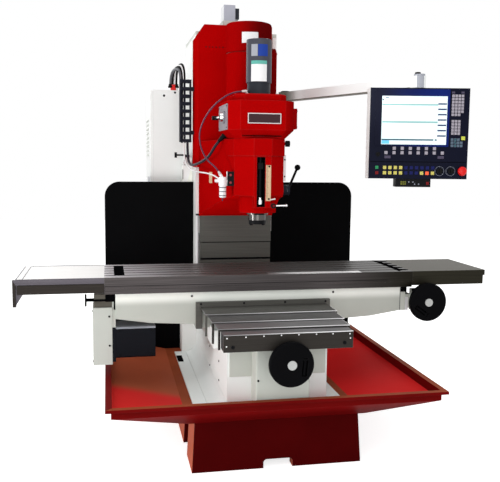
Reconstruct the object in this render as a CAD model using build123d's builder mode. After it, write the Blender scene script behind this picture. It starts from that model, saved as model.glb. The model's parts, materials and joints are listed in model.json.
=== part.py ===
"""Bed type milling machine, in millimetres.

The origin is on the floor under the middle of the base. +X is the operator's right,
+Y points to the back of the machine and +Z is up. The rest pose is the one in the photo.
"""

import math
import os

from build123d import *

os.makedirs("parts", exist_ok=True)

# Fits and plate thicknesses
SLIDE_GAP = 0.2
RUN_GAP = 0.08
STOP_GAP = 0.4
FREE_GAP = 1.0
SHEET = 4.0
WALL = 20.0

# Base pedestal
BASE_HALF = 436.0
BASE_FRONT = -950.0
BASE_BACK = 950.0
BASE_TOP = 253.0
BASE_TAPER = 3.2
BASE_POCKET_Y = (552.0, 717.0)
BASE_WEB_HALF = 330.0
BASE_DECK = 32.0
BASE_RIB = 30.0
FORK_HALF = 75.0
FORK_HEIGHT = 45.0
ANCHOR_X = 395.0
ANCHOR_Y = 925.0
ANCHOR_R = 9.0

# Chip pan
PAN_HALF = 852.0
PAN_FRONT = -1077.0
PAN_BACK = 480.0
PAN_RIM = 388.0
PAN_LIP = 335.0
PAN_LIP_INSET = 27.0
PAN_FLANGE = 15.0
PAN_FLOOR_HALF = 455.0
PAN_FLOOR_FRONT = -945.0
PAN_SHEET = 5.0

# Bed, Y drive and Y screw
BED_HALF = 257.0
BED_FRONT = -910.0
WAY_IN = 175.0
WAY_OUT = 295.0
WAY_FRONT = -700.0
BED_FOOT_HALF = 402.0
BED_FOOT_T = 10.0
WAY_BOTTOM = 560.0
WAY_TOP = 655.0
Y_SCREW_Z = 598.0
Y_SCREW_R = 20.0
Y_CHANNEL_HALF = 75.0
Y_CHANNEL_FLOOR = 530.0
Y_SCREW_END = 320.0
Y_BOX_HALF = 134.0
Y_END_COVER = (128.0, 246.0)
Y_END_COVER_Z = (470.0, 648.0)
Y_BOX_FRONT = -1030.0
Y_BOX_TOP = 650.0
Y_BOX_BOTTOM = 345.0
Y_BOX_WALL = 8.0
Y_SCREW_LEAD_IN = 60.0
Y_PULLEY_R = 42.0
Y_PULLEY_T = 34.0
NUT_HALF = 50.0
WHEEL_R = 107.0
WHEEL_T = 36.0
WHEEL_SHAFT_R = 12.0
WHEEL_CAP_R = 22.0
WHEEL_CAP_PROUD = 5.0
WHEEL_RIM = 9.0
WHEEL_HUB_R = 30.0
Y_WHEEL_Y = -1198.0
Y_WHEEL_TURN = -85.0
X_WHEEL_TURN = 35.0
HANDLE_R = 7.5
HANDLE_LENGTH = 75.0
HANDLE_PIVOT = 31.0
HANDLE_OFFSET = 62.0
HANDLE_DEPTH = 8.5
HANDLE_SLOT = (90.0, 24.0, 26.0)
HANDLE_SLOT_X = -6.0
HANDLE_SLOT_Y = 6.0

# Saddle
SADDLE_HALF = 794.0
SADDLE_FRONT = -560.0
SADDLE_BACK = -170.0
SADDLE_TOP = 838.0
SADDLE_TIP = 702.0
SADDLE_KNEE_X = 615.0
SADDLE_KNEE_Z = 675.0
SADDLE_FOOT_X = 372.0
SADDLE_FOOT_Z = 661.0
SADDLE_SKIRT = 640.0
TABLE_Y = -364.5
X_SCREW_Z = 797.0
X_SCREW_R = 16.0
X_CHANNEL_HALF = 60.0
X_CHANNEL_FLOOR = 752.0

# X drive at the left end and X handwheel at the right end
X_PLATE_T = 17.0
X_PLATE_DROP = 3.0
X_PLATE_RISE = 18.0
X_COVER_WIDTH = 101.0
X_COVER_HEIGHT = 307.0
X_COVER_DROP = 79.0
X_COVER_RIGHT = -SADDLE_HALF - X_PLATE_T
X_COVER_LEFT = X_COVER_RIGHT - X_COVER_WIDTH
X_COVER_TOP = SADDLE_TOP - X_COVER_DROP
X_COVER_Z = (X_COVER_TOP - X_COVER_HEIGHT, X_COVER_TOP)
X_DRIVE_FRONT = SADDLE_FRONT + 20.0
X_DRIVE_DEPTH = 235.0
X_DRIVE_BACK = X_DRIVE_FRONT + X_DRIVE_DEPTH
X_BLOCK_TOP = SADDLE_TOP - 6.0
X_BLOCK_IN = 7.0
LIMIT_ROD_R = 4.0
LIMIT_ROD_REACH = 30.0
LIMIT_ROD_DROP = 24.0
LIMIT_HEAD_T = 8.0
LIMIT_HEAD_HEIGHT = 50.0
X_MOTOR_LENGTH = 209.0
X_MOTOR_WIDTH = 170.0
X_MOTOR_RISE = 33.0
X_MOTOR_HEIGHT = 166.0
X_MOTOR_BOTTOM = X_COVER_Z[0] + X_MOTOR_RISE
X_MOTOR_Z = (X_MOTOR_BOTTOM, X_MOTOR_BOTTOM + X_MOTOR_HEIGHT)
X_WHEEL_REACH = 128.0
X_WHEEL_DROP = 78.0
X_WHEEL_STAND = 41.0
X_HOUSING_R = 75.0
X_HOUSING_DEPTH = 62.0
X_HOUSING_BACK = SADDLE_FRONT + 5.0
X_HOUSING_Y = (X_HOUSING_BACK - X_HOUSING_DEPTH, X_HOUSING_BACK)
X_WHEEL_X = SADDLE_HALF + X_WHEEL_REACH
X_WHEEL_Z = SADDLE_TOP - X_WHEEL_DROP
X_WHEEL_Y = X_HOUSING_Y[0] - X_WHEEL_STAND
X_BRACKET_T = 29.0
X_BRACKET_DEPTH = 140.0
X_BRACKET_REACH = 68.0

# Table and its wings
TABLE_HALF = 850.0
TABLE_FRONT = -593.0
TABLE_BACK = -136.0
TABLE_TOP = 928.0
TABLE_STEP = 870.0
TABLE_STEP_IN = 10.0
SLOT_PITCH = 80.0
SLOT_COUNT = 5
SLOT_WIDTH = 18.0
SLOT_NECK = 20.0
SLOT_T_WIDTH = 30.0
SLOT_DEPTH = 34.0
WING_END = 1290.0
WING_LIP = 898.0
WING_BOTTOM = 847.0
WING_INSET = 8.0
WING_SHEET = 6.0
FOOT_END = -1306.0
FOOT_BOTTOM = 785.0
FOOT_DEPTH = 31.0

# Front way cover of the Y axis: frame front, half width and top of each section
FLANGE_FRONT = -580.0
FLANGE_HALF = 372.0
FLANGE_LEG = 34.0
FLANGE_Z = (638.0, 782.0)
COVER_FRONTS = (-780.0, -935.0, -1055.0)
COVER_HALVES = (349.0, 337.0, 325.0)
COVER_TOPS = (758.0, 752.0, 746.0)
COVER_LENGTH = 270.0
COVER_LEG = 10.5
COVER_FRAME = 9.0
COVER_SHEET = 2.5
COVER_LEG_BOTTOM = 646.0
REAR_COVER_LENGTH = 265.0
REAR_COVER_Z = 672.0
END_PLATE_FRONT = -1139.0
END_PLATE_HALF = 313.0
END_PLATE_Z = (655.0, 737.0)

# Column, Z screw and its drive
COLUMN_HALF = 263.0
COLUMN_FRONT = 345.0
COLUMN_BACK = 950.0
COLUMN_TOP = 2330.0
COLUMN_FOOT_HALF = 353.0
COLUMN_FOOT_TOP = 690.0
RECESS_HALF = 237.0
RECESS_BACK = 412.0
RECESS_BOTTOM = 682.0
RAIL_IN = 130.0
RAIL_OUT = 215.0
RAIL_FRONT = 352.0
Z_SCREW_Y = 382.0
Z_SCREW_R = 20.0
Z_SCREW_BOTTOM = 745.0
Z_PLATE_T = 22.0
Z_GUARD_HEIGHT = 73.0
Z_GUARD_HALF = 90.0
Z_GUARD_WALL = 6.0
Z_GUARD_MARGIN = 30.0
Z_GUARD_CORNER = 20.0
Z_PULLEY_R = 28.0
Z_PULLEY_T = 38.0
Z_MOTOR_Y = 690.0
Z_MOTOR_HALF = 40.0
Z_MOTOR_DEPTH = 65.0
Z_MOTOR_HEIGHT = 157.0
Z_PLATE_TOP = COLUMN_TOP + Z_PLATE_T
Z_GUARD_TOP = Z_PLATE_TOP + Z_GUARD_HEIGHT
Z_MOTOR_TOP = Z_GUARD_TOP + Z_MOTOR_HEIGHT
Z_FOOT_HALF = 60.0
GUARD_Y = (471.0, 475.0)
GUARD_TOP = 1390.0
GUARD_CORNER = 97.0

# Column covers: front face, half width and height limits of each plate
PLATE_T = 3.0
PLATE_FRONT = 323.0
PLATE_STEP = PLATE_T + SLIDE_GAP
UPPER_PLATE = (PLATE_FRONT, 237.0, 1034.0, 1330.0)
MIDDLE_PLATE = (PLATE_FRONT + PLATE_STEP, 235.5, 850.0, 1240.0)
LOWER_PLATE = (PLATE_FRONT + 2 * PLATE_STEP, 234.0, 692.0, 1060.0)
PLATE_FOOT = 48.0

# Head
SLIDE_HALF = 243.0
SLIDE_FRONT = 318.0
SLIDE_Z = (1175.0, 1950.0)
SLIDE_POCKET_TOP = 1480.0
Z_NUT_Z = (1500.0, 1620.0)
CASING_FACE_X = (-256.0, 250.0)
CASING_SIDE_X = -270.0
CASING_FRONT = 300.0
CASING_CORNER_Y = 344.0
CASING_BACK = 466.0
CASING_Z = (1490.0, 2388.0)
CASING_NOTCH_HALF = 243.0
CASING_CHAMFER = (54.0, 77.0)
CASING_SHOULDER = (223.0, 2248.0)
CASING_HOOD_BACK = 338.0
CASING_LUG_X = (170.0, 178.0)
CASING_LUG_Z = (1840.0, 1930.0)
HEAD_TOP = 1656.0
HEAD_BOTTOM = 1343.0
HEAD_SLOPE_Y = -190.0
HEAD_MID_BOTTOM = 1308.0
HEAD_SLOPE_Z = 1182.0
HEAD_BAND_Z = 1562.0
HEAD_BAND = 5.0
HEAD_MID_HALF = 150.0
HEAD_MID_Y = -300.0
HEAD_NOSE_HALF = 140.0
HEAD_NOSE_Y = -400.0
HEAD_FACE_HALF = 48.0
HEAD_FACE_Y = -500.0
HEAD_CORE_HALF = 115.0
HEAD_CORE_Y = (-250.0, 40.0)
HEAD_REAR_HALF = 175.0
HEAD_CORE_BOTTOM = 1365.0
HEAD_REAR_BOTTOM = 1290.0
SPINDLE_Y = -365.0
COLLAR_R = 105.0
COLLAR_BOTTOM = 1248.0
QUILL_R = 62.0
QUILL_Z = (1204.0, 1640.0)
QUILL_END_R = 49.0
QUILL_SHOULDER = 1236.0
SPINDLE_R = 34.0
NOSE_R = 48.0
NOSE_BOTTOM = 1182.0
DRIVE_KEY = 8.0
TAPER_MOUTH_R = 22.2
TAPER_TOP_R = 12.7
TAPER_DEPTH = 65.0
SPINDLE_TOP = 1800.0
STOP_X = -9.0
STOP_HALF = 23.0
STOP_BOSS_X = (-46.0, 46.0)
STOP_Z = (1285.0, 1556.0)
STOP_SCREW_Y = -472.0
STOP_SCREW_R = 8.0
LUG_Z = (1490.0, 1525.0)
KNOB_Y = -385.0
KNOB_Z = 1632.0
KNOB_DEPTH = 16.0
KNOB_SHAFT_R = 8.0

# Belt housing, motor and drawbar
HOUSING_FACE_HALF = 125.0
HOUSING_HALF = 184.0
HOUSING_CORNER_Y = -440.0
HOUSING_NECK_Y = -150.0
HOUSING_NECK_HALF = 145.0
HOUSING_NECK_END = 30.0
HOUSING_CORE_HALF = 110.0
HOUSING_CORE_Y = (-470.0, 20.0)
SIDE_COVER_T = 22.0
SIDE_COVER_Y = (-435.0, -230.0)
SIDE_COVER_Z = (1711.0, 1824.0)
HOUSING_BACK = 85.0
HOUSING_TOP = 1860.0
HOUSING_BEVEL = 46.0
LID_TOP = 1897.0
LID_HALF = 143.0
LID_FACE_HALF = 98.0
LID_FRONT = -472.0
LID_CORNER_Y = -424.0
LID_BACK = -262.0
MOTOR_Y = -62.0
MOTOR_R = 131.0
MOTOR_FLANGE_R = 140.0
MOTOR_FLANGE_TOP = 1886.0
MOTOR_SEAM = 2164.0
MOTOR_CAP_R = 135.0
MOTOR_TOP = 2331.0
MOTOR_BOX_X = (95.0, 159.0)
MOTOR_BOX_HALF = 52.0
MOTOR_BOX_TOP = 2190.0
DRAWBAR_R = 70.0
DRAWBAR_FOOT_R = 64.0
DRAWBAR_FOOT_TOP = 1962.0
DRAWBAR_TOP = 2195.0
DRAWBAR_PORT = 74.0
DRAWBAR_PORT_Z = 1913.0

# Quill feed lever, lock lever and range lever
FEED_Y = -315.0
FEED_Z = 1370.0
FEED_BOSS = 154.0
FEED_KNOB = (250.0, -291.0, 1499.0)
LOCK_X = 58.0
LOCK_Z = 1292.0
LOCK_FRONT = -507.0
RANGE_Y = -350.0
RANGE_Z = 1773.0
RANGE_PLATE_T = 5.0
RANGE_PLATE_Y = (-436.0, -152.0)
RANGE_PLATE_HALF = 70.0
RANGE_BOSS_R = 34.0
RANGE_BOSS_T = 8.0
RANGE_HUB_R = 24.0
RANGE_REACH = 95.0
NAME_PLATE_X = (-86.0, 98.0)
NAME_PLATE_Z = (1735.0, 1791.0)
NAME_PLATE_T = 3.0
SCALE_Z = (1318.0, 1513.0)
SCALE_T = 2.0

# Control arm and panel
PIVOT_X = 370.0
PIVOT_Y = 520.0
ARM_Z = (1937.0, 2000.0)
ARM_WIDTH = 60.0
ARM_PIN_R = 15.0
ARM_HUB_R = 45.0
ARM_SHELL = 4.0
BRACKET_HALF = 40.0
BRACKET_HEIGHT = 57.0
PANEL_X = 835.0
PANEL_Y = -620.0
PANEL_TURN = -12.0
PANEL_FRONT = -30.0
PANEL_HALF = 267.0
PANEL_DEPTH = 110.0
PANEL_Z = (1447.0, 1934.0)
POST_R = 20.0
POST_HUB_R = 34.0
FACE_T = 6.0
SCREEN_X = (-203.0, 147.0)
SCREEN_Z = (1632.0, 1890.0)
CONTROL_Z = 1490.0
FEED_DIAL_X = 118.0
SPEED_DIAL_X = 178.0
STOP_BUTTON_X = 237.0
DIAL_R = 16.0
STOP_BUTTON_R = 19.0
PANEL_SHELL = 4.0
AUX_X = (-115.0, 75.0)
AUX_HEIGHT = 45.0
AUX_DEPTH = 75.0
KEY_T = 3.0
PAD_X = 166.0
PAD_TOP = 1868.0
PAD_PITCH = (22.0, 24.0)
PAD_KEY = (17.0, 17.0)
NUMBER_TOP = 1716.0
NUMBER_PITCH = (29.0, 22.0)
NUMBER_KEY = (23.0, 16.0)
SOFT_WIDTH = 330.0
SOFT_TOPS = (1622.0, 1592.0)
SOFT_HEIGHT = 15.0
SOFT_GAP = 10.0
ROW_X = -246.0
ROW_TOP = 1521.0
ROW_PITCH = (25.0, 34.0)
ROW_KEY = (19.0, 24.0)

# Cabinet and lubricator
CABINET_X = (-520.0, -263.0)
CABINET_Y = (600.0, 1160.0)
CABINET_Z = (700.0, 2000.0)
CABINET_WALL = 8.0
DOOR_T = 18.0
DOOR_SHEET = 5.0
HINGE_X = -531.0
HINGE_Y = 1150.0
HINGE_R = 8.0
HINGE_PIN_R = 5.0
HINGE_LENGTH = 50.0
HINGE_INSET = 200.0
LUBRICATOR_LEFT = -335.0
LUBRICATOR_Y = (490.0, 595.0)
LUBRICATOR_Z = (1300.0, 1500.0)
LUBRICATOR_CAP = 52.0

# Air regulator
REGULATOR_X = -202.0
REGULATOR_Y = -390.0
REGULATOR_BODY_R = 23.0
REGULATOR_BODY_Z = (1396.0, 1444.0)
REGULATOR_BOWL_R = 19.0
REGULATOR_BOWL_BOTTOM = 1330.0
REGULATOR_PORT_Z = 1420.0
REGULATOR_PORT = 32.0
REGULATOR_INLET = 30.0
REGULATOR_SEAT = 34.0
REGULATOR_BRACKET_X = -178.0
REGULATOR_BRACKET_Z = (1395.0, 1475.0)

# Hoses and cable chain
CHAIN_X = (-363.0, -288.0)
CHAIN_Y = (375.0, 425.0)
CHAIN_Z = (1650.0, 2050.0)
CHAIN_RUNGS = 9
CHAIN_HOSE_Y = 401.0
CHAIN_PLATE = 9.0
CHAIN_BAR = 6.0
CHAIN_RUNG = 20.0
CHAIN_CLIP = 24.0
CHAIN_CLIP_IN = (50.0, 70.0)
LOOP_X = (-346.0, -330.0)
LOOP_R = 7.0
LOOP_BEND = 55.0
LOOP_CRESTS = (2142.0, 2160.0)
SOCKET_X = (-388.0, -362.0)
SOCKET_Y = 622.0
SOCKET_TOP = 2040.0
SOCKET_R = 10.0
CABLE_R = 8.0
HOSE_R = 4.5
BEND_SHARE = 0.45
GLAND_Y = -190.0
GLAND_RISE = HOUSING_BEVEL / 2
GLAND_REACH = 68.0


def block(x, y, z, mode=Mode.ADD):
    """Box between pairs of limits along X, Y and Z."""
    with Locations((sum(x) / 2, sum(y) / 2, sum(z) / 2)):
        Box(abs(x[1] - x[0]), abs(y[1] - y[0]), abs(z[1] - z[0]), mode=mode)


def prism(plane, points, amount, mode=Mode.ADD):
    """Closed outline on a plane, pulled along the plane's normal."""
    with BuildSketch(plane) as outline:
        with BuildLine():
            Polyline(*points, close=True)
        make_face()
    extrude(outline.sketch, amount=amount, mode=mode)


def slab_x(points, x, mode=Mode.ADD):
    """Outline of (Y, Z) points between two X limits."""
    prism(Plane.YZ.offset(x[0]), points, x[1] - x[0], mode)


def slab_y(points, y, mode=Mode.ADD):
    """Outline of (X, Z) points between two Y limits."""
    prism(Plane.XZ.offset(-y[1]), points, y[1] - y[0], mode)


def slab_z(points, z, mode=Mode.ADD):
    """Outline of (X, Y) points between two Z limits."""
    prism(Plane.XY.offset(z[0]), points, z[1] - z[0], mode)


def bar(start, direction, radius, length, mode=Mode.ADD):
    """Round bar from a start point along a direction."""
    with Locations(Plane(origin=start, z_dir=direction).location):
        Cylinder(radius, length, align=(Align.CENTER, Align.CENTER, Align.MIN), mode=mode)


def link(start, end, radius, mode=Mode.ADD):
    """Round bar between two points."""
    reach = Vector(*end) - Vector(*start)
    bar(start, tuple(reach), radius, reach.length, mode)


def bends(points):
    """Corner radii of a cord, from the shorter run at each corner and half of its turn."""
    runs = [Vector(*end) - Vector(*start) for start, end in zip(points, points[1:])]
    radii = []
    for before, after in zip(runs, runs[1:]):
        half_turn = math.radians(before.get_angle(after)) / 2
        radii.append(BEND_SHARE * min(before.length, after.length) / math.tan(half_turn))
    return radii


def tube(points, radii, radius):
    """Hose of straight runs joined by tangent arcs."""
    with BuildLine() as route:
        FilletPolyline(*points, radius=radii)
    with BuildSketch(Plane(origin=route.line @ 0, z_dir=route.line % 0)) as ring:
        Circle(radius)
    sweep(ring.sketch, path=route.wires()[0])


def mirrored(half):
    """Closed outline from its right half, listed from one end of the middle line to the other."""
    return list(half) + [(-x, y) for x, y in reversed(half)]


def sides(limits):
    """The same X limits on the right and on the left."""
    return (limits, (-limits[1], -limits[0]))


def panel_block(x, y, z, mode=Mode.ADD):
    """Box in the control panel's own directions, turned about its post."""
    turned = Location((PANEL_X, PANEL_Y, 0), (0, 0, PANEL_TURN))
    middle = Pos(sum(x) / 2, sum(y) / 2, sum(z) / 2)
    with Locations(turned * middle):
        Box(abs(x[1] - x[0]), abs(y[1] - y[0]), abs(z[1] - z[0]), mode=mode)


def panel_bar(x, y, z, radius, length, mode=Mode.ADD):
    """Round bar standing out of the control panel's front."""
    turned = Location((PANEL_X, PANEL_Y, 0), (0, 0, PANEL_TURN))
    facing = Location((x, y, z), (90, 0, 0))
    with Locations(turned * facing):
        Cylinder(radius, length, align=(Align.CENTER, Align.CENTER, Align.MIN), mode=mode)


# Base pedestal: red casting, ribbed below, with a fork notch and anchor holes
with BuildPart() as base_pedestal:
    with BuildSketch(Plane.XY):
        with Locations((0, (BASE_FRONT + BASE_BACK) / 2)):
            Rectangle(2 * BASE_HALF, BASE_BACK - BASE_FRONT)
    extrude(amount=BASE_TOP, taper=BASE_TAPER)
    pocket_top = BASE_TOP - BASE_DECK
    inner, outer = BASE_POCKET_Y
    for y in ((-outer, -inner), (inner, outer)):
        for x in sides((BASE_WEB_HALF, BASE_HALF + FREE_GAP)):
            block(x, y, (0, pocket_top), Mode.SUBTRACT)
    leg_in = BASE_HALF - 2 * BASE_RIB
    for y in ((BASE_FRONT + 60, -outer - 35), (outer + 35, BASE_BACK - 60)):
        block((-leg_in, leg_in), y, (0, pocket_top), Mode.SUBTRACT)
    for x in sides((BASE_RIB, BASE_WEB_HALF - BASE_RIB)):
        for y in ((-outer + 35, -BASE_RIB), (BASE_RIB, outer - 35)):
            block(x, y, (0, pocket_top), Mode.SUBTRACT)
    for x in sides((BASE_WEB_HALF, leg_in)):
        for y in ((-inner + 35, -BASE_RIB), (BASE_RIB, inner - 35)):
            block(x, y, (0, pocket_top), Mode.SUBTRACT)
    with BuildSketch(Plane.XZ.offset(-BASE_FRONT - 100)) as notch:
        with Locations((0, FORK_HEIGHT / 2 - 20)):
            RectangleRounded(2 * FORK_HALF, FORK_HEIGHT + 40, 18)
    extrude(notch.sketch, amount=160, mode=Mode.SUBTRACT)
    with Locations(*[(sx * ANCHOR_X, sy * ANCHOR_Y, 0) for sx in (-1, 1) for sy in (-1, 1)]):
        Cylinder(ANCHOR_R, 120, align=(Align.CENTER, Align.CENTER, Align.MIN), mode=Mode.SUBTRACT)
base_pedestal.part.label = "base_pedestal"
export_step(base_pedestal.part, "parts/base_pedestal.step")

# Chip pan: sheet hopper around the bed
with BuildPart() as chip_pan:
    pan_slope = PAN_HALF - PAN_LIP_INSET
    pan_slope_front = PAN_FRONT + PAN_LIP_INSET
    block((-pan_slope, pan_slope), (pan_slope_front, PAN_BACK), (PAN_LIP, PAN_RIM))
    block((-PAN_HALF, PAN_HALF), (PAN_FRONT, PAN_BACK), (PAN_RIM - PAN_FLANGE, PAN_RIM))
    for lift, back, mode in ((0, PAN_BACK, Mode.ADD), (PAN_SHEET, PAN_BACK - PAN_SHEET, Mode.SUBTRACT)):
        with BuildSketch(Plane.XY.offset(PAN_LIP + lift)) as pan_upper:
            with Locations((0, (pan_slope_front + lift + back) / 2)):
                Rectangle(2 * (pan_slope - lift), back - pan_slope_front - lift)
        with BuildSketch(Plane.XY.offset(BASE_TOP + lift)) as pan_lower:
            with Locations((0, (PAN_FLOOR_FRONT + back) / 2)):
                Rectangle(2 * PAN_FLOOR_HALF, back - PAN_FLOOR_FRONT)
        loft([pan_lower.sketch.face(), pan_upper.sketch.face()], mode=mode)
    pan_in = pan_slope - PAN_SHEET
    block((-pan_in, pan_in), (pan_slope_front + PAN_SHEET, PAN_BACK - PAN_SHEET),
          (PAN_LIP + PAN_SHEET, PAN_RIM + FREE_GAP), Mode.SUBTRACT)
    bed_hole = BED_HALF + FREE_GAP
    above_pan = (0, PAN_RIM + FREE_GAP)
    block((-bed_hole, bed_hole), (BED_FRONT - FREE_GAP, PAN_BACK + FREE_GAP), above_pan, Mode.SUBTRACT)
    column_hole = COLUMN_FOOT_HALF + FREE_GAP
    column_slot = (COLUMN_FRONT - FREE_GAP, PAN_BACK + FREE_GAP)
    block((-column_hole, column_hole), column_slot, above_pan, Mode.SUBTRACT)
chip_pan.part.label = "chip_pan"
export_step(chip_pan.part, "parts/chip_pan.step")

# Bed casting with its two box ways and the channel of the Y screw
with BuildPart() as bed_casting:
    block((-BED_HALF, BED_HALF), (BED_FRONT, COLUMN_FRONT), (BASE_TOP, WAY_BOTTOM))
    foot_z = (BASE_TOP + PAN_SHEET, BASE_TOP + PAN_SHEET + BED_FOOT_T)
    block((-BED_FOOT_HALF, BED_FOOT_HALF), (BED_FRONT, COLUMN_FRONT), foot_z)
    for x in sides((WAY_IN, BED_HALF)):
        block(x, (BED_FRONT, COLUMN_FRONT), (WAY_BOTTOM, WAY_TOP))
    for x in sides((BED_HALF, WAY_OUT)):
        block(x, (WAY_FRONT, COLUMN_FRONT), (WAY_BOTTOM, WAY_TOP))
    bed_in = BED_HALF - WALL
    core = (BASE_TOP, Y_CHANNEL_FLOOR - 2 * WALL)
    block((-bed_in, bed_in), (BED_FRONT + WALL, COLUMN_FRONT - WALL), core, Mode.SUBTRACT)
    screw_wall = Y_SCREW_END - 40
    channel_x = (-Y_CHANNEL_HALF, Y_CHANNEL_HALF)
    block(channel_x, (BED_FRONT, screw_wall), (Y_CHANNEL_FLOOR, WAY_BOTTOM), Mode.SUBTRACT)
    block(channel_x, (screw_wall, COLUMN_FRONT), (WAY_BOTTOM, Y_SCREW_Z + 40))
    bar((0, BED_FRONT, Y_SCREW_Z), (0, 1, 0), Y_SCREW_R + RUN_GAP, Y_SCREW_END - BED_FRONT + 5, Mode.SUBTRACT)
bed_casting.part.label = "bed_casting"
export_step(bed_casting.part, "parts/bed_casting.step")

# Y drive box at the bed's front
with BuildPart() as y_drive_box:
    block((-Y_BOX_HALF, Y_BOX_HALF), (Y_BOX_FRONT, BED_FRONT), (Y_BOX_BOTTOM, Y_BOX_TOP))
    box_in = Y_BOX_HALF - Y_BOX_WALL
    block((-box_in, box_in), (Y_BOX_FRONT + Y_BOX_WALL, BED_FRONT),
          (Y_BOX_BOTTOM + Y_BOX_WALL, Y_BOX_TOP - Y_BOX_WALL), Mode.SUBTRACT)
    bar((0, Y_BOX_FRONT - 1, Y_SCREW_Z), (0, 1, 0), WHEEL_SHAFT_R + RUN_GAP, 2 * Y_BOX_WALL, Mode.SUBTRACT)
    fillet(y_drive_box.edges().filter_by(Axis.Z).group_by(Axis.Y)[0], 6)
    for x in sides(Y_END_COVER):
        block(x, (BED_FRONT - 2 * SHEET, BED_FRONT), Y_END_COVER_Z)
y_drive_box.part.label = "y_drive_box"
export_step(y_drive_box.part, "parts/y_drive_box.step")

# Y ball screw
with BuildPart() as y_ballscrew:
    screw_start = BED_FRONT - Y_SCREW_LEAD_IN
    bar((0, screw_start, Y_SCREW_Z), (0, 1, 0), Y_SCREW_R, Y_SCREW_END - screw_start)
    bar((0, screw_start + 15, Y_SCREW_Z), (0, 1, 0), Y_PULLEY_R, Y_PULLEY_T)
y_ballscrew.part.label = "y_ballscrew"
export_step(y_ballscrew.part, "parts/y_ballscrew.step")


def wheel_disc(centre):
    """Thick disc of a handwheel, seen from the front."""
    bar(centre, (0, 1, 0), WHEEL_R, WHEEL_T)


def wheel_details(centre, turn, shaft):
    """Shaft behind a handwheel, the cap in front, and a recess for the folding handle."""
    x, y, z = centre
    bar((x, y + WHEEL_T - 1, z), (0, 1, 0), WHEEL_SHAFT_R, shaft)
    bar((x, y - WHEEL_CAP_PROUD, z), (0, 1, 0), WHEEL_CAP_R, WHEEL_CAP_PROUD + 1)
    turned = Location(centre, (0, turn, 0))
    with Locations(turned * Pos(HANDLE_SLOT_X, HANDLE_SLOT_Y, -HANDLE_OFFSET)):
        Box(*HANDLE_SLOT, mode=Mode.SUBTRACT)


def wheel_handle(centre, turn):
    """Folding handle that lies in the recess and turns about a pin at one end."""
    turned = Location(centre, (0, turn, 0))
    far_end = HANDLE_PIVOT - HANDLE_LENGTH
    with Locations(turned * Location((far_end, HANDLE_DEPTH, -HANDLE_OFFSET), (0, 90, 0))):
        Cylinder(HANDLE_R, HANDLE_LENGTH, align=(Align.CENTER, Align.CENTER, Align.MIN))
    with Locations(turned * Location((HANDLE_PIVOT, HANDLE_DEPTH, -HANDLE_OFFSET))):
        Cylinder(HANDLE_R, HANDLE_SLOT[2] - 2 * SLIDE_GAP)


# Y handwheel on its shaft, with a cap and a folding handle
Y_WHEEL = (0, Y_WHEEL_Y, Y_SCREW_Z)
with BuildPart() as y_handwheel:
    wheel_disc(Y_WHEEL)
    fillet(y_handwheel.edges().filter_by(GeomType.CIRCLE), WHEEL_RIM)
    bar((0, Y_WHEEL_Y + WHEEL_T - 1, Y_SCREW_Z), (0, 1, 0), WHEEL_HUB_R, 2 * WHEEL_HUB_R)
    wheel_details(Y_WHEEL, Y_WHEEL_TURN, Y_BOX_FRONT - Y_WHEEL_Y - WHEEL_T + 2 * Y_BOX_WALL)
y_handwheel.part.label = "y_handwheel"
export_step(y_handwheel.part, "parts/y_handwheel.step")

with BuildPart() as y_wheel_handle:
    wheel_handle(Y_WHEEL, Y_WHEEL_TURN)
y_wheel_handle.part.label = "y_wheel_handle"
export_step(y_wheel_handle.part, "parts/y_wheel_handle.step")

# Saddle: cross casting that slides on the bed and carries the table
with BuildPart() as saddle:
    slab_y(mirrored([
        (SADDLE_HALF, SADDLE_TOP),
        (SADDLE_HALF, SADDLE_TIP),
        (SADDLE_KNEE_X, SADDLE_KNEE_Z),
        (SADDLE_FOOT_X, SADDLE_FOOT_Z),
        (SADDLE_FOOT_X, SADDLE_SKIRT),
        (WAY_OUT + FREE_GAP, SADDLE_SKIRT),
        (WAY_OUT + FREE_GAP, WAY_TOP + SLIDE_GAP),
    ]), (SADDLE_FRONT, SADDLE_BACK))
    channel = (TABLE_Y - X_CHANNEL_HALF, TABLE_Y + X_CHANNEL_HALF)
    block((-SADDLE_HALF, SADDLE_HALF - 30), channel, (X_CHANNEL_FLOOR, SADDLE_TOP), Mode.SUBTRACT)
    for x in sides((SADDLE_FOOT_X + 20, SADDLE_HALF - 35)):
        for y in ((SADDLE_FRONT + 25, channel[0] - 25), (channel[1] + 25, SADDLE_BACK - 25)):
            block(x, y, (SADDLE_SKIRT, SADDLE_TOP - 40), Mode.SUBTRACT)
    bar((SADDLE_HALF - 40, TABLE_Y, X_SCREW_Z), (1, 0, 0), X_SCREW_R + RUN_GAP, 50, Mode.SUBTRACT)
    nut_y = (TABLE_Y - NUT_HALF, TABLE_Y + NUT_HALF)
    block((-NUT_HALF, NUT_HALF), nut_y, (Y_SCREW_Z - NUT_HALF + 2, WAY_TOP + SLIDE_GAP))
    bar((0, nut_y[0] - 1, Y_SCREW_Z), (0, 1, 0), Y_SCREW_R + RUN_GAP, 2 * NUT_HALF + 2, Mode.SUBTRACT)
saddle.part.label = "saddle"
export_step(saddle.part, "parts/saddle.step")

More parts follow.
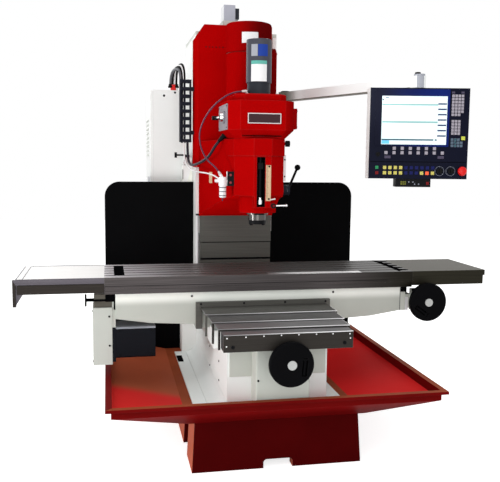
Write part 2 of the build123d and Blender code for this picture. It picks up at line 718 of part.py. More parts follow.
# X drive bracket: plate on the saddle's left end, the screw's bearing block and a limit switch rod
with BuildPart() as x_drive_bracket:
    plate_z = (X_COVER_Z[0] + X_PLATE_RISE, SADDLE_TOP - X_PLATE_DROP)
    block((X_COVER_RIGHT, -SADDLE_HALF), (X_DRIVE_FRONT + 5, X_DRIVE_BACK), plate_z)
    block_x = (X_COVER_LEFT + X_BLOCK_IN, X_COVER_RIGHT)
    block(block_x, (X_DRIVE_FRONT + 15, X_DRIVE_BACK), (X_COVER_TOP, X_BLOCK_TOP))
    bore_length = X_COVER_WIDTH + X_PLATE_T + 2
    bar((X_COVER_LEFT + 20, TABLE_Y, X_SCREW_Z), (1, 0, 0), X_SCREW_R + RUN_GAP, bore_length, Mode.SUBTRACT)
    fillet(x_drive_bracket.edges().filter_by(Axis.Y).group_by(Axis.X)[0].sort_by(Axis.Z)[-1:], 12)
    rod_z = X_BLOCK_TOP - LIMIT_ROD_DROP
    block(block_x, (X_DRIVE_FRONT - 8, X_DRIVE_FRONT + 15), (rod_z - 13, X_BLOCK_TOP))
    rod_x = X_COVER_LEFT - LIMIT_ROD_REACH
    bar((rod_x, X_DRIVE_FRONT + 2, rod_z), (1, 0, 0), LIMIT_ROD_R, LIMIT_ROD_REACH + 2 * X_BLOCK_IN)
    block((rod_x - LIMIT_HEAD_T, rod_x), (X_DRIVE_FRONT - 3, X_DRIVE_FRONT + 7),
          (X_BLOCK_TOP - LIMIT_HEAD_HEIGHT, X_BLOCK_TOP))
x_drive_bracket.part.label = "x_drive_bracket"
export_step(x_drive_bracket.part, "parts/x_drive_bracket.step")

# X belt cover
with BuildPart() as x_belt_cover:
    block((X_COVER_LEFT, X_COVER_RIGHT), (X_DRIVE_FRONT, X_DRIVE_BACK), X_COVER_Z)
    block((X_COVER_LEFT + SHEET, X_COVER_RIGHT), (X_DRIVE_FRONT + SHEET, X_DRIVE_BACK - SHEET),
          (X_COVER_Z[0] + SHEET, X_COVER_Z[1] - SHEET), Mode.SUBTRACT)
x_belt_cover.part.label = "x_belt_cover"
export_step(x_belt_cover.part, "parts/x_belt_cover.step")

# X servo motor below the saddle's left arm
with BuildPart() as x_servo_motor:
    motor_x = (-SADDLE_HALF, -SADDLE_HALF + X_MOTOR_LENGTH)
    block(motor_x, (X_DRIVE_FRONT, X_DRIVE_FRONT + X_MOTOR_WIDTH), X_MOTOR_Z)
    chamfer(x_servo_motor.edges().filter_by(Axis.X), 8)
x_servo_motor.part.label = "x_servo_motor"
export_step(x_servo_motor.part, "parts/x_servo_motor.step")

# X ball screw
with BuildPart() as x_ballscrew:
    screw_start = X_COVER_LEFT + 30
    bar((screw_start, TABLE_Y, X_SCREW_Z), (1, 0, 0), X_SCREW_R, SADDLE_HALF - 2 - screw_start)
x_ballscrew.part.label = "x_ballscrew"
export_step(x_ballscrew.part, "parts/x_ballscrew.step")

# Bracket of the X handwheel at the saddle's right end, with a ribbed round housing
with BuildPart() as x_wheel_bracket:
    bracket_x = SADDLE_HALF + X_BRACKET_T
    neck_x = SADDLE_HALF + X_BRACKET_REACH
    block((SADDLE_HALF, bracket_x), (SADDLE_FRONT, SADDLE_FRONT + X_BRACKET_DEPTH),
          (X_WHEEL_Z - 59, X_WHEEL_Z + 45))
    block((bracket_x, neck_x), (SADDLE_FRONT + 6, SADDLE_FRONT + 70), (X_WHEEL_Z - 48, X_WHEEL_Z + 30))
    block((neck_x, X_WHEEL_X + 60), (X_HOUSING_BACK, X_HOUSING_BACK + 30), (X_WHEEL_Z - 60, X_WHEEL_Z + 60))
    bar((X_WHEEL_X, X_HOUSING_Y[0], X_WHEEL_Z), (0, 1, 0), X_HOUSING_R, X_HOUSING_DEPTH)
    for number in range(1, 4):
        ring_y = X_HOUSING_Y[0] + number * X_HOUSING_DEPTH / 4
        with Locations(Plane(origin=(X_WHEEL_X, ring_y, X_WHEEL_Z), z_dir=(0, 1, 0)).location):
            Torus(X_HOUSING_R, 2.5, mode=Mode.SUBTRACT)
    shaft_bore = 2 * X_HOUSING_DEPTH / 3
    bar((X_WHEEL_X, X_HOUSING_Y[0], X_WHEEL_Z), (0, 1, 0), WHEEL_SHAFT_R + RUN_GAP, shaft_bore, Mode.SUBTRACT)
x_wheel_bracket.part.label = "x_wheel_bracket"
export_step(x_wheel_bracket.part, "parts/x_wheel_bracket.step")

# X handwheel, with a cap and a folding handle
X_WHEEL = (X_WHEEL_X, X_WHEEL_Y, X_WHEEL_Z)
with BuildPart() as x_handwheel:
    wheel_disc(X_WHEEL)
    fillet(x_handwheel.edges().filter_by(GeomType.CIRCLE), WHEEL_RIM)
    wheel_details(X_WHEEL, X_WHEEL_TURN, X_WHEEL_STAND - WHEEL_T + shaft_bore - 1)
x_handwheel.part.label = "x_handwheel"
export_step(x_handwheel.part, "parts/x_handwheel.step")

with BuildPart() as x_wheel_handle:
    wheel_handle(X_WHEEL, X_WHEEL_TURN)
x_wheel_handle.part.label = "x_wheel_handle"
export_step(x_wheel_handle.part, "parts/x_wheel_handle.step")

# Table with T-slots and the X screw's nut below
with BuildPart() as table:
    table_bottom = SADDLE_TOP + SLIDE_GAP
    block((-TABLE_HALF, TABLE_HALF), (TABLE_FRONT, TABLE_BACK), (TABLE_STEP, TABLE_TOP))
    block((-TABLE_HALF, TABLE_HALF), (TABLE_FRONT + TABLE_STEP_IN, TABLE_BACK - TABLE_STEP_IN),
          (table_bottom, TABLE_STEP))
    for slot in range(SLOT_COUNT):
        y = TABLE_Y + (slot - (SLOT_COUNT - 1) / 2) * SLOT_PITCH
        block((-TABLE_HALF, TABLE_HALF), (y - SLOT_WIDTH / 2, y + SLOT_WIDTH / 2),
              (TABLE_TOP - SLOT_DEPTH, TABLE_TOP), Mode.SUBTRACT)
        block((-TABLE_HALF, TABLE_HALF), (y - SLOT_T_WIDTH / 2, y + SLOT_T_WIDTH / 2),
              (TABLE_TOP - SLOT_DEPTH, TABLE_TOP - SLOT_NECK), Mode.SUBTRACT)
    nut_y = (TABLE_Y - X_CHANNEL_HALF + 20, TABLE_Y + X_CHANNEL_HALF - 20)
    block((-NUT_HALF, NUT_HALF), nut_y, (X_CHANNEL_FLOOR + 9, table_bottom))
    bar((-NUT_HALF - 1, TABLE_Y, X_SCREW_Z), (1, 0, 0), X_SCREW_R + RUN_GAP, 2 * NUT_HALF + 2, Mode.SUBTRACT)
table.part.label = "table"
export_step(table.part, "parts/table.step")


def wing(near, far):
    """Sheet cover between two X limits: lipped skirts, an end wall and an open underside."""
    end = far - math.copysign(WING_SHEET, far)
    block((near, far), (TABLE_FRONT, TABLE_BACK), (TABLE_TOP - WING_SHEET, TABLE_TOP))
    block((near, far), (TABLE_FRONT, TABLE_FRONT + WING_INSET), (WING_LIP, TABLE_TOP - WING_SHEET))
    block((near, far), (TABLE_BACK - WING_INSET, TABLE_BACK), (WING_LIP, TABLE_TOP - WING_SHEET))
    skirt_front = TABLE_FRONT + WING_INSET
    skirt_back = TABLE_BACK - WING_INSET
    skirt = (WING_BOTTOM, TABLE_TOP - WING_SHEET)
    block((near, end), (skirt_front, skirt_front + WING_SHEET), skirt)
    block((near, end), (skirt_back - WING_SHEET, skirt_back), skirt)
    block((end - math.copysign(WING_SHEET, far), end), (skirt_front, skirt_back), skirt)


with BuildPart() as table_wing_right:
    wing(TABLE_HALF, WING_END)
table_wing_right.part.label = "table_wing_right"
export_step(table_wing_right.part, "parts/table_wing_right.step")

with BuildPart() as table_wing_left:
    wing(-TABLE_HALF, -WING_END)
    foot_back = TABLE_FRONT + FOOT_DEPTH
    block((FOOT_END, -WING_END), (TABLE_FRONT, foot_back), (FOOT_BOTTOM, TABLE_TOP - 2))
    foot = (TABLE_FRONT + WING_INSET, foot_back)
    slab_y([(-WING_END, WING_BOTTOM), (-WING_END + 34, WING_BOTTOM), (-WING_END, FOOT_BOTTOM + 8)], foot)
    block((-WING_END, -WING_END + WING_SHEET), foot, (WING_BOTTOM, TABLE_TOP - WING_SHEET))
table_wing_left.part.label = "table_wing_left"
export_step(table_wing_left.part, "parts/table_wing_left.step")


def cover_section(number, back):
    """Section of the front way cover: top sheet, frame legs and a lip that rides on the next section."""
    front, half, top = COVER_FRONTS[number], COVER_HALVES[number], COVER_TOPS[number]
    below = (COVER_TOPS + (END_PLATE_Z[1],))[number + 1]
    frame = (front, front + COVER_FRAME)
    block((-half, half), (front, back), (top - COVER_SHEET, top))
    block((-half, half), frame, (below + SLIDE_GAP, top))
    for x in sides((half - COVER_LEG, half)):
        block(x, frame, (COVER_LEG_BOTTOM, top))


# Flange of the front way cover with the section that rides on the saddle
with BuildPart() as y_cover_flange:
    block((-FLANGE_HALF, FLANGE_HALF), (FLANGE_FRONT, SADDLE_FRONT), FLANGE_Z)
    flange_in = FLANGE_HALF - FLANGE_LEG
    block((-flange_in, flange_in), (FLANGE_FRONT, SADDLE_FRONT), (FLANGE_Z[0], COVER_TOPS[0] - COVER_SHEET),
          Mode.SUBTRACT)
    cover_section(0, FLANGE_FRONT)
y_cover_flange.part.label = "y_cover_flange"
export_step(y_cover_flange.part, "parts/y_cover_flange.step")

# Two sliding sections of the front way cover
with BuildPart() as y_cover_section_1:
    cover_section(1, COVER_FRONTS[1] + COVER_LENGTH)
y_cover_section_1.part.label = "y_cover_section_1"
export_step(y_cover_section_1.part, "parts/y_cover_section_1.step")

with BuildPart() as y_cover_section_2:
    cover_section(2, COVER_FRONTS[2] + COVER_LENGTH)
y_cover_section_2.part.label = "y_cover_section_2"
export_step(y_cover_section_2.part, "parts/y_cover_section_2.step")

# Fixed end plate of the front way cover, its sheet and the support on the drive box
with BuildPart() as y_cover_end_plate:
    block((-END_PLATE_HALF, END_PLATE_HALF), (END_PLATE_FRONT, END_PLATE_FRONT + 5), END_PLATE_Z)
    block((-END_PLATE_HALF, END_PLATE_HALF), (END_PLATE_FRONT, END_PLATE_FRONT + COVER_LENGTH),
          (END_PLATE_Z[1] - COVER_SHEET, END_PLATE_Z[1]))
    for x in sides((60, 120)):
        block(x, (Y_BOX_FRONT + 10, BED_FRONT), (Y_BOX_TOP, END_PLATE_Z[1] - COVER_SHEET))
y_cover_end_plate.part.label = "y_cover_end_plate"
export_step(y_cover_end_plate.part, "parts/y_cover_end_plate.step")

# Rear way cover on the saddle's back: a sheet with folded sides
with BuildPart() as y_rear_cover:
    rear = (SADDLE_BACK, SADDLE_BACK + REAR_COVER_LENGTH)
    side = WAY_OUT + 15
    block((-side, side), rear, (REAR_COVER_Z, REAR_COVER_Z + COVER_SHEET))
    for x in sides((side - COVER_SHEET, side)):
        block(x, rear, (SADDLE_SKIRT, REAR_COVER_Z))
y_rear_cover.part.label = "y_rear_cover"
export_step(y_rear_cover.part, "parts/y_rear_cover.step")

# Column with its front recess, two ways and the Z screw's foot bearing
with BuildPart() as column:
    block((-COLUMN_HALF, COLUMN_HALF), (COLUMN_FRONT, COLUMN_BACK), (BASE_TOP, COLUMN_TOP))
    column_foot = (COLUMN_FRONT, GUARD_Y[0] - FREE_GAP)
    block((-COLUMN_FOOT_HALF, COLUMN_FOOT_HALF), column_foot, (BASE_TOP, COLUMN_FOOT_TOP))
    recess = (RECESS_BOTTOM, COLUMN_TOP)
    block((-RECESS_HALF, RECESS_HALF), (COLUMN_FRONT, RECESS_BACK), recess, Mode.SUBTRACT)
    for x in sides((RAIL_IN, RAIL_OUT)):
        block(x, (RAIL_FRONT, RECESS_BACK), recess)
    column_in = COLUMN_HALF - WALL
    block((-column_in, column_in), (RECESS_BACK + WALL, COLUMN_BACK - WALL), (BASE_TOP + 40, COLUMN_TOP),
          Mode.SUBTRACT)
    block((-Z_FOOT_HALF, Z_FOOT_HALF), (RAIL_FRONT, RECESS_BACK), (RECESS_BOTTOM, Z_SCREW_BOTTOM + 50))
    bar((0, Z_SCREW_Y, Z_SCREW_BOTTOM - 5), (0, 0, 1), Z_SCREW_R + RUN_GAP, 60, Mode.SUBTRACT)
    fillet(column.edges().filter_by(Axis.Z).group_by(Axis.Y)[-1], 12)
column.part.label = "column"
export_step(column.part, "parts/column.step")

# Column top plate with the Z screw's head bearing and the belt guard
with BuildPart() as z_drive_guard:
    block((-COLUMN_HALF, COLUMN_HALF), (COLUMN_FRONT, COLUMN_BACK), (COLUMN_TOP, Z_PLATE_TOP))
    bar((0, Z_SCREW_Y, COLUMN_TOP - 1), (0, 0, 1), Z_SCREW_R + RUN_GAP, Z_PLATE_T + 2, Mode.SUBTRACT)
    guard_back = Z_MOTOR_Y + Z_MOTOR_DEPTH + Z_GUARD_MARGIN
    guard_in = Z_GUARD_HALF - Z_GUARD_WALL
    block((-Z_GUARD_HALF, Z_GUARD_HALF), (COLUMN_FRONT, guard_back), (Z_PLATE_TOP, Z_GUARD_TOP))
    block((-guard_in, guard_in), (COLUMN_FRONT + Z_GUARD_WALL, guard_back - Z_GUARD_WALL),
          (Z_PLATE_TOP, Z_GUARD_TOP - Z_GUARD_WALL), Mode.SUBTRACT)
    upright = z_drive_guard.edges().filter_by(Axis.Z)
    for x in (-Z_GUARD_HALF, Z_GUARD_HALF):
        fillet(upright.filter_by_position(Axis.X, x - 1, x + 1), Z_GUARD_CORNER)
z_drive_guard.part.label = "z_drive_guard"
export_step(z_drive_guard.part, "parts/z_drive_guard.step")

# Z servo motor: flange, body and connector block
with BuildPart() as z_servo_motor:
    half = Z_MOTOR_HALF
    deep = Z_MOTOR_DEPTH
    flange_y = (Z_MOTOR_Y - deep - 6, Z_MOTOR_Y + deep + 6)
    block((-half - 6, half + 6), flange_y, (Z_GUARD_TOP, Z_GUARD_TOP + 22))
    block((-half, half), (Z_MOTOR_Y - deep, Z_MOTOR_Y + deep), (Z_GUARD_TOP, Z_MOTOR_TOP))
    fillet(z_servo_motor.edges().filter_by(Axis.Z), 5)
    block((half - 8, half + 32), (Z_MOTOR_Y - 30, Z_MOTOR_Y + 30), (Z_MOTOR_TOP - 85, Z_MOTOR_TOP - 14))
z_servo_motor.part.label = "z_servo_motor"
export_step(z_servo_motor.part, "parts/z_servo_motor.step")

# Z ball screw with its pulley under the belt guard
with BuildPart() as z_ballscrew:
    bar((0, Z_SCREW_Y, Z_SCREW_BOTTOM), (0, 0, 1), Z_SCREW_R, Z_GUARD_TOP - 12 - Z_SCREW_BOTTOM)
    bar((0, Z_SCREW_Y, Z_PLATE_TOP + 12), (0, 0, 1), Z_PULLEY_R, Z_PULLEY_T)
z_ballscrew.part.label = "z_ballscrew"
export_step(z_ballscrew.part, "parts/z_ballscrew.step")


def guard(side):
    """Splash guard on one side: it stands in the pan's back and has a rounded outer corner."""
    outer = PAN_HALF - PAN_SHEET - FREE_GAP
    inside = PAN_HALF - PAN_LIP_INSET - PAN_SHEET - FREE_GAP
    ledge = PAN_LIP + PAN_SHEET + FREE_GAP
    over_rim = PAN_RIM + FREE_GAP
    floor = BASE_TOP + PAN_SHEET + FREE_GAP
    outline = [
        (COLUMN_HALF, floor),
        (PAN_FLOOR_HALF, floor),
        (inside, ledge),
        (inside, over_rim),
        (outer, over_rim),
        (outer, GUARD_TOP),
        (COLUMN_HALF, GUARD_TOP),
    ]
    slab_y([(side * x, z) for x, z in outline], GUARD_Y)


with BuildPart() as splash_guards:
    guard(-1)
    guard(1)
    outer_corners = splash_guards.edges().filter_by(Axis.Y).group_by(Axis.Z)[-1].sort_by(Axis.X)
    fillet([outer_corners[0], outer_corners[-1]], GUARD_CORNER)
splash_guards.part.label = "splash_guards"
export_step(splash_guards.part, "parts/splash_guards.step")


def cover_plate(front, half, bottom, top):
    """Flat plate in front of the column's ways."""
    block((-half, half), (front, front + PLATE_T), (bottom, top))


# Three telescoping plates: the upper rides on the head, the middle follows at half speed, the lower is fixed
with BuildPart() as column_cover_upper:
    cover_plate(*UPPER_PLATE)
column_cover_upper.part.label = "column_cover_upper"
export_step(column_cover_upper.part, "parts/column_cover_upper.step")

with BuildPart() as column_cover_middle:
    cover_plate(*MIDDLE_PLATE)
column_cover_middle.part.label = "column_cover_middle"
export_step(column_cover_middle.part, "parts/column_cover_middle.step")

with BuildPart() as column_cover_lower:
    cover_plate(*LOWER_PLATE)
    foot_z = (LOWER_PLATE[2], LOWER_PLATE[2] + PLATE_FOOT)
    block((-Z_FOOT_HALF, Z_FOOT_HALF), (LOWER_PLATE[0] + PLATE_T, RAIL_FRONT), foot_z)
column_cover_lower.part.label = "column_cover_lower"
export_step(column_cover_lower.part, "parts/column_cover_lower.step")

# Head slide on the column's ways, hollow behind its lower front for the cover plates
with BuildPart() as head_slide:
    slide_back = RAIL_FRONT - SLIDE_GAP
    block((-SLIDE_HALF, SLIDE_HALF), (SLIDE_FRONT, COLUMN_FRONT - SLIDE_GAP), SLIDE_Z)
    inner = RECESS_HALF - FREE_GAP
    block((-inner, inner), (COLUMN_FRONT - SLIDE_GAP, slide_back), SLIDE_Z)
    pocket = UPPER_PLATE[1] + FREE_GAP
    block((-pocket, pocket), (UPPER_PLATE[0], slide_back), (SLIDE_Z[0], SLIDE_POCKET_TOP), Mode.SUBTRACT)
    block((-55, 55), (slide_back, RECESS_BACK - 4), Z_NUT_Z)
    bore_length = Z_NUT_Z[1] - Z_NUT_Z[0] + 2
    bar((0, Z_SCREW_Y, Z_NUT_Z[0] - 1), (0, 0, 1), Z_SCREW_R + RUN_GAP, bore_length, Mode.SUBTRACT)
head_slide.part.label = "head_slide"
export_step(head_slide.part, "parts/head_slide.step")

# Tall guard casing before the column's upper front, with a side plate for the cable chain on the left
with BuildPart() as head_casing:
    run, drop = CASING_CHAMFER
    low, high = CASING_Z
    left, right = CASING_FACE_X
    shoulder_x, shoulder_z = CASING_SHOULDER
    slab_z([
        (left, CASING_FRONT),
        (right, CASING_FRONT),
        (right, CASING_CORNER_Y),
        (CASING_SIDE_X + SHEET, CASING_CORNER_Y),
        (CASING_SIDE_X + SHEET, CASING_BACK),
        (CASING_SIDE_X, CASING_BACK),
        (CASING_SIDE_X, CASING_CORNER_Y),
    ], CASING_Z)
    depth = (CASING_FRONT - FREE_GAP, CASING_BACK + FREE_GAP)
    slab_y([
        (CASING_SIDE_X - 1, high + 1),
        (CASING_SIDE_X - 1, high - drop),
        (CASING_SIDE_X, high - drop),
        (CASING_SIDE_X + run, high),
        (CASING_SIDE_X + run, high + 1),
    ], depth, Mode.SUBTRACT)
    slab_y([
        (shoulder_x, high + 1),
        (shoulder_x, shoulder_z),
        (right, shoulder_z - 12),
        (right + 1, shoulder_z - 12),
        (right + 1, high + 1),
    ], depth, Mode.SUBTRACT)
    inside_y = (CASING_FRONT + SHEET, CASING_CORNER_Y + FREE_GAP)
    slab_z([
        (left + SHEET, inside_y[0]),
        (right - SHEET, inside_y[0]),
        (right - SHEET, inside_y[1]),
        (CASING_SIDE_X + SHEET, inside_y[1]),
        (CASING_SIDE_X + SHEET, CASING_CORNER_Y - 2),
    ], (low - 1, shoulder_z - 12 - SHEET), Mode.SUBTRACT)
    slab_y([
        (CASING_SIDE_X + run + 2, high - SHEET),
        (left + SHEET, high - drop - SHEET),
        (left + SHEET, shoulder_z - 17),
        (shoulder_x - SHEET, shoulder_z - 17),
        (shoulder_x - SHEET, high - SHEET),
    ], inside_y, Mode.SUBTRACT)
    behind_hood = (CASING_HOOD_BACK, depth[1])
    block((CASING_SIDE_X - 1, right + 1), behind_hood, (high - drop - 2, high + 1), Mode.SUBTRACT)
    notch_x = (-CASING_NOTCH_HALF, CASING_NOTCH_HALF)
    block(notch_x, depth, (low - 1, HEAD_TOP + 2), Mode.SUBTRACT)
    for x in sides(CASING_LUG_X):
        block(x, (CASING_FRONT + SHEET, SLIDE_FRONT), CASING_LUG_Z)
head_casing.part.label = "head_casing"
export_step(head_casing.part, "parts/head_casing.step")


def head_flank(y):
    """Half width of the head casting between its nose and its middle."""
    share = (y - HEAD_NOSE_Y) / (HEAD_MID_Y - HEAD_NOSE_Y)
    return HEAD_NOSE_HALF + share * (HEAD_MID_HALF - HEAD_NOSE_HALF)


# Head casting: tapered body, quill bore, stop slot and bosses
with BuildPart() as head_casting:
    slab_z(mirrored([
        (HEAD_FACE_HALF, HEAD_FACE_Y),
        (HEAD_NOSE_HALF, HEAD_NOSE_Y),
        (HEAD_MID_HALF, HEAD_MID_Y),
        (SLIDE_HALF, SLIDE_FRONT),
    ]), (HEAD_SLOPE_Z, HEAD_TOP))
    slab_x([
        (HEAD_FACE_Y - 1, HEAD_BOTTOM),
        (HEAD_NOSE_Y, HEAD_BOTTOM),
        (HEAD_SLOPE_Y, HEAD_MID_BOTTOM),
        (SLIDE_FRONT + 1, HEAD_SLOPE_Z),
        (HEAD_FACE_Y - 1, HEAD_SLOPE_Z - 10),
    ], (-SLIDE_HALF - 1, SLIDE_HALF + 1), Mode.SUBTRACT)
    slab_z(mirrored([
        (HEAD_FACE_HALF + HEAD_BAND / 2, HEAD_FACE_Y - HEAD_BAND),
        (HEAD_NOSE_HALF + HEAD_BAND, HEAD_NOSE_Y - HEAD_BAND / 2),
        (HEAD_MID_HALF + HEAD_BAND, HEAD_MID_Y),
        (HEAD_MID_HALF + HEAD_BAND, HEAD_CORE_Y[0]),
    ]), (HEAD_BAND_Z, HEAD_TOP))
    bar((0, SPINDLE_Y, COLLAR_BOTTOM), (0, 0, 1), COLLAR_R, HEAD_BOTTOM - COLLAR_BOTTOM + 30)
    block(STOP_BOSS_X, (HEAD_FACE_Y, SPINDLE_Y - QUILL_R), (STOP_Z[0] - 7, HEAD_BOTTOM + 10))
    core_z = (HEAD_CORE_BOTTOM, HEAD_TOP)
    block((-HEAD_CORE_HALF, HEAD_CORE_HALF), HEAD_CORE_Y, core_z, Mode.SUBTRACT)
    block((-HEAD_REAR_HALF, HEAD_REAR_HALF), (HEAD_CORE_Y[1] - 10, SLIDE_FRONT - 35),
          (HEAD_REAR_BOTTOM, HEAD_TOP - 30), Mode.SUBTRACT)
    slot_y = (HEAD_FACE_Y, SPINDLE_Y - QUILL_R + 12)
    block((STOP_X - STOP_HALF, STOP_X + STOP_HALF), slot_y, STOP_Z, Mode.SUBTRACT)
    bar((100, FEED_Y, FEED_Z), (1, 0, 0), 40, FEED_BOSS - 100)
    bar((0, FEED_Y, FEED_Z), (1, 0, 0), 12 + RUN_GAP, 200, Mode.SUBTRACT)
    bar((LOCK_X, LOCK_FRONT, LOCK_Z), (0, 1, 0), 16, 70)
    bar((HEAD_NOSE_HALF - KNOB_DEPTH, KNOB_Y, KNOB_Z), (1, 0, 0), KNOB_SHAFT_R + RUN_GAP, 40, Mode.SUBTRACT)
    bar((LOCK_X, LOCK_FRONT - 1, LOCK_Z), (0, 1, 0), 7 + RUN_GAP, 26, Mode.SUBTRACT)
    bore_length = HEAD_TOP - COLLAR_BOTTOM + 2
    bar((0, SPINDLE_Y, COLLAR_BOTTOM - 1), (0, 0, 1), QUILL_R + RUN_GAP, bore_length, Mode.SUBTRACT)
head_casting.part.label = "head_casting"
export_step(head_casting.part, "parts/head_casting.step")

# Belt housing with a bevelled foot, a side cover, and a lid below the drawbar unit
with BuildPart() as belt_housing:
    slab_z(mirrored([
        (HOUSING_FACE_HALF, HEAD_FACE_Y),
        (HOUSING_HALF, HOUSING_CORNER_Y),
        (HOUSING_HALF, HOUSING_NECK_Y),
        (HOUSING_NECK_HALF, HOUSING_NECK_END),
        (HOUSING_NECK_HALF, HOUSING_BACK),
    ]), (HEAD_TOP, HOUSING_TOP))
    chamfer(belt_housing.faces().sort_by(Axis.Z)[0].edges(), HOUSING_BEVEL)
    core_x = (-HOUSING_CORE_HALF, HOUSING_CORE_HALF)
    block(core_x, HOUSING_CORE_Y, (HEAD_TOP + 12, HOUSING_TOP - 14), Mode.SUBTRACT)
    bar((0, SPINDLE_Y, HEAD_TOP - 1), (0, 0, 1), 45, 40, Mode.SUBTRACT)
    block((-90, 90), (-230, HOUSING_CORE_Y[1]), (HEAD_TOP, HEAD_TOP + 14), Mode.SUBTRACT)
    block((HOUSING_HALF, HOUSING_HALF + SIDE_COVER_T), SIDE_COVER_Y, SIDE_COVER_Z)
    fillet(belt_housing.edges().group_by(Axis.X)[-1], 5)
    slab_z(mirrored([
        (LID_FACE_HALF, LID_FRONT),
        (LID_HALF, LID_CORNER_Y),
        (LID_HALF, LID_BACK),
    ]), (HOUSING_TOP, LID_TOP))
    chamfer(belt_housing.faces().sort_by(Axis.Z)[-1].edges(), 6)
belt_housing.part.label = "belt_housing"
export_step(belt_housing.part, "parts/belt_housing.step")

# Spindle motor: flange, body and fan cap
with BuildPart() as spindle_motor:
    bar((0, MOTOR_Y, HOUSING_TOP), (0, 0, 1), MOTOR_FLANGE_R, MOTOR_FLANGE_TOP - HOUSING_TOP)
    bar((0, MOTOR_Y, HOUSING_TOP), (0, 0, 1), MOTOR_R, MOTOR_SEAM - HOUSING_TOP)
    bar((0, MOTOR_Y, MOTOR_SEAM), (0, 0, 1), MOTOR_CAP_R, MOTOR_TOP - MOTOR_SEAM)
    fillet(spindle_motor.faces().sort_by(Axis.Z)[-1].edges(), 14)
    box_y = (MOTOR_Y - MOTOR_BOX_HALF, MOTOR_Y + MOTOR_BOX_HALF)
    block(MOTOR_BOX_X, box_y, (MOTOR_FLANGE_TOP - 4, MOTOR_BOX_TOP))
    chamfer(spindle_motor.edges().group_by(Axis.X)[-1], 10)
spindle_motor.part.label = "spindle_motor"
export_step(spindle_motor.part, "parts/spindle_motor.step")

# Power drawbar unit
with BuildPart() as drawbar_unit:
    bar((0, SPINDLE_Y, LID_TOP), (0, 0, 1), DRAWBAR_FOOT_R, DRAWBAR_FOOT_TOP - LID_TOP)
    bar((0, SPINDLE_Y, DRAWBAR_FOOT_TOP), (0, 0, 1), DRAWBAR_R, DRAWBAR_TOP - DRAWBAR_FOOT_TOP)
    fillet(drawbar_unit.faces().sort_by(Axis.Z)[-1].edges(), 3)
    port_length = DRAWBAR_PORT - DRAWBAR_FOOT_R + 6
    bar((-DRAWBAR_FOOT_R + 6, SPINDLE_Y - 23, DRAWBAR_PORT_Z), (-1, 0, 0), 8, port_length)
drawbar_unit.part.label = "drawbar_unit"
export_step(drawbar_unit.part, "parts/drawbar_unit.step")

# Plates on the head: gear range plate on the left flank, bare name plate and depth scale in front
with BuildPart() as head_plates:
    plate_x = -HOUSING_HALF - RANGE_PLATE_T
    block((plate_x, -HOUSING_HALF), RANGE_PLATE_Y, (RANGE_Z - RANGE_PLATE_HALF, RANGE_Z + RANGE_PLATE_HALF))
    bar((plate_x, RANGE_Y, RANGE_Z), (-1, 0, 0), RANGE_BOSS_R, RANGE_BOSS_T)
    bar((plate_x - RANGE_BOSS_T - 1, RANGE_Y, RANGE_Z), (1, 0, 0), 8 + RUN_GAP, 20, Mode.SUBTRACT)
    block(NAME_PLATE_X, (HEAD_FACE_Y - NAME_PLATE_T, HEAD_FACE_Y), NAME_PLATE_Z)
    block((STOP_X + STOP_HALF + 4, HEAD_FACE_HALF - 2), (HEAD_FACE_Y - SCALE_T, HEAD_FACE_Y), SCALE_Z)
head_plates.part.label = "head_plates"
export_step(head_plates.part, "parts/head_plates.step")

# Gear range lever
with BuildPart() as range_lever:
    hub_x = -HOUSING_HALF - RANGE_PLATE_T - RANGE_BOSS_T - 0.5
    knob_y = RANGE_Y + RANGE_REACH
    bar((hub_x, RANGE_Y, RANGE_Z), (-1, 0, 0), RANGE_HUB_R, 18)
    bar((hub_x + 12, RANGE_Y, RANGE_Z), (-1, 0, 0), 8, 14)
    link((hub_x - 9, RANGE_Y, RANGE_Z), (hub_x - 26, knob_y, RANGE_Z), 6)
    bar((hub_x - 12, knob_y + 2, RANGE_Z), (-1, 0, 0), 12, 34)
range_lever.part.label = "range_lever"
export_step(range_lever.part, "parts/range_lever.step")

# Depth stop: screw with its nut in the front slot, and the clamp knob on the right flank
with BuildPart() as depth_stop:
    bar((STOP_X, STOP_SCREW_Y, STOP_Z[0]), (0, 0, 1), STOP_SCREW_R, STOP_Z[1] - STOP_Z[0])
    bar((STOP_X, STOP_SCREW_Y, STOP_Z[0] + 14), (0, 0, 1), 19, 24)
    bar((HEAD_NOSE_HALF - KNOB_DEPTH, KNOB_Y, KNOB_Z), (1, 0, 0), KNOB_SHAFT_R, KNOB_DEPTH + 16)
    bar((HEAD_NOSE_HALF + 14, KNOB_Y, KNOB_Z), (1, 0, 0), 17, 22)
depth_stop.part.label = "depth_stop"
export_step(depth_stop.part, "parts/depth_stop.step")

# Quill with its stop lug
with BuildPart() as quill:
    bar((0, SPINDLE_Y, QUILL_Z[0]), (0, 0, 1), QUILL_END_R, QUILL_SHOULDER - QUILL_Z[0])
    bar((0, SPINDLE_Y, QUILL_SHOULDER), (0, 0, 1), QUILL_R, QUILL_Z[1] - QUILL_SHOULDER)
    block((STOP_X - 14, STOP_X + 14), (STOP_SCREW_Y - 16, SPINDLE_Y - QUILL_R + 6), LUG_Z)
    lug_bore = LUG_Z[1] - LUG_Z[0] + 2
    bar((STOP_X, STOP_SCREW_Y, LUG_Z[0] - 1), (0, 0, 1), STOP_SCREW_R + STOP_GAP, lug_bore, Mode.SUBTRACT)
    quill_bore = QUILL_Z[1] - QUILL_Z[0] + 2
    bar((0, SPINDLE_Y, QUILL_Z[0] - 1), (0, 0, 1), SPINDLE_R + RUN_GAP, quill_bore, Mode.SUBTRACT)
quill.part.label = "quill"
export_step(quill.part, "parts/quill.step")

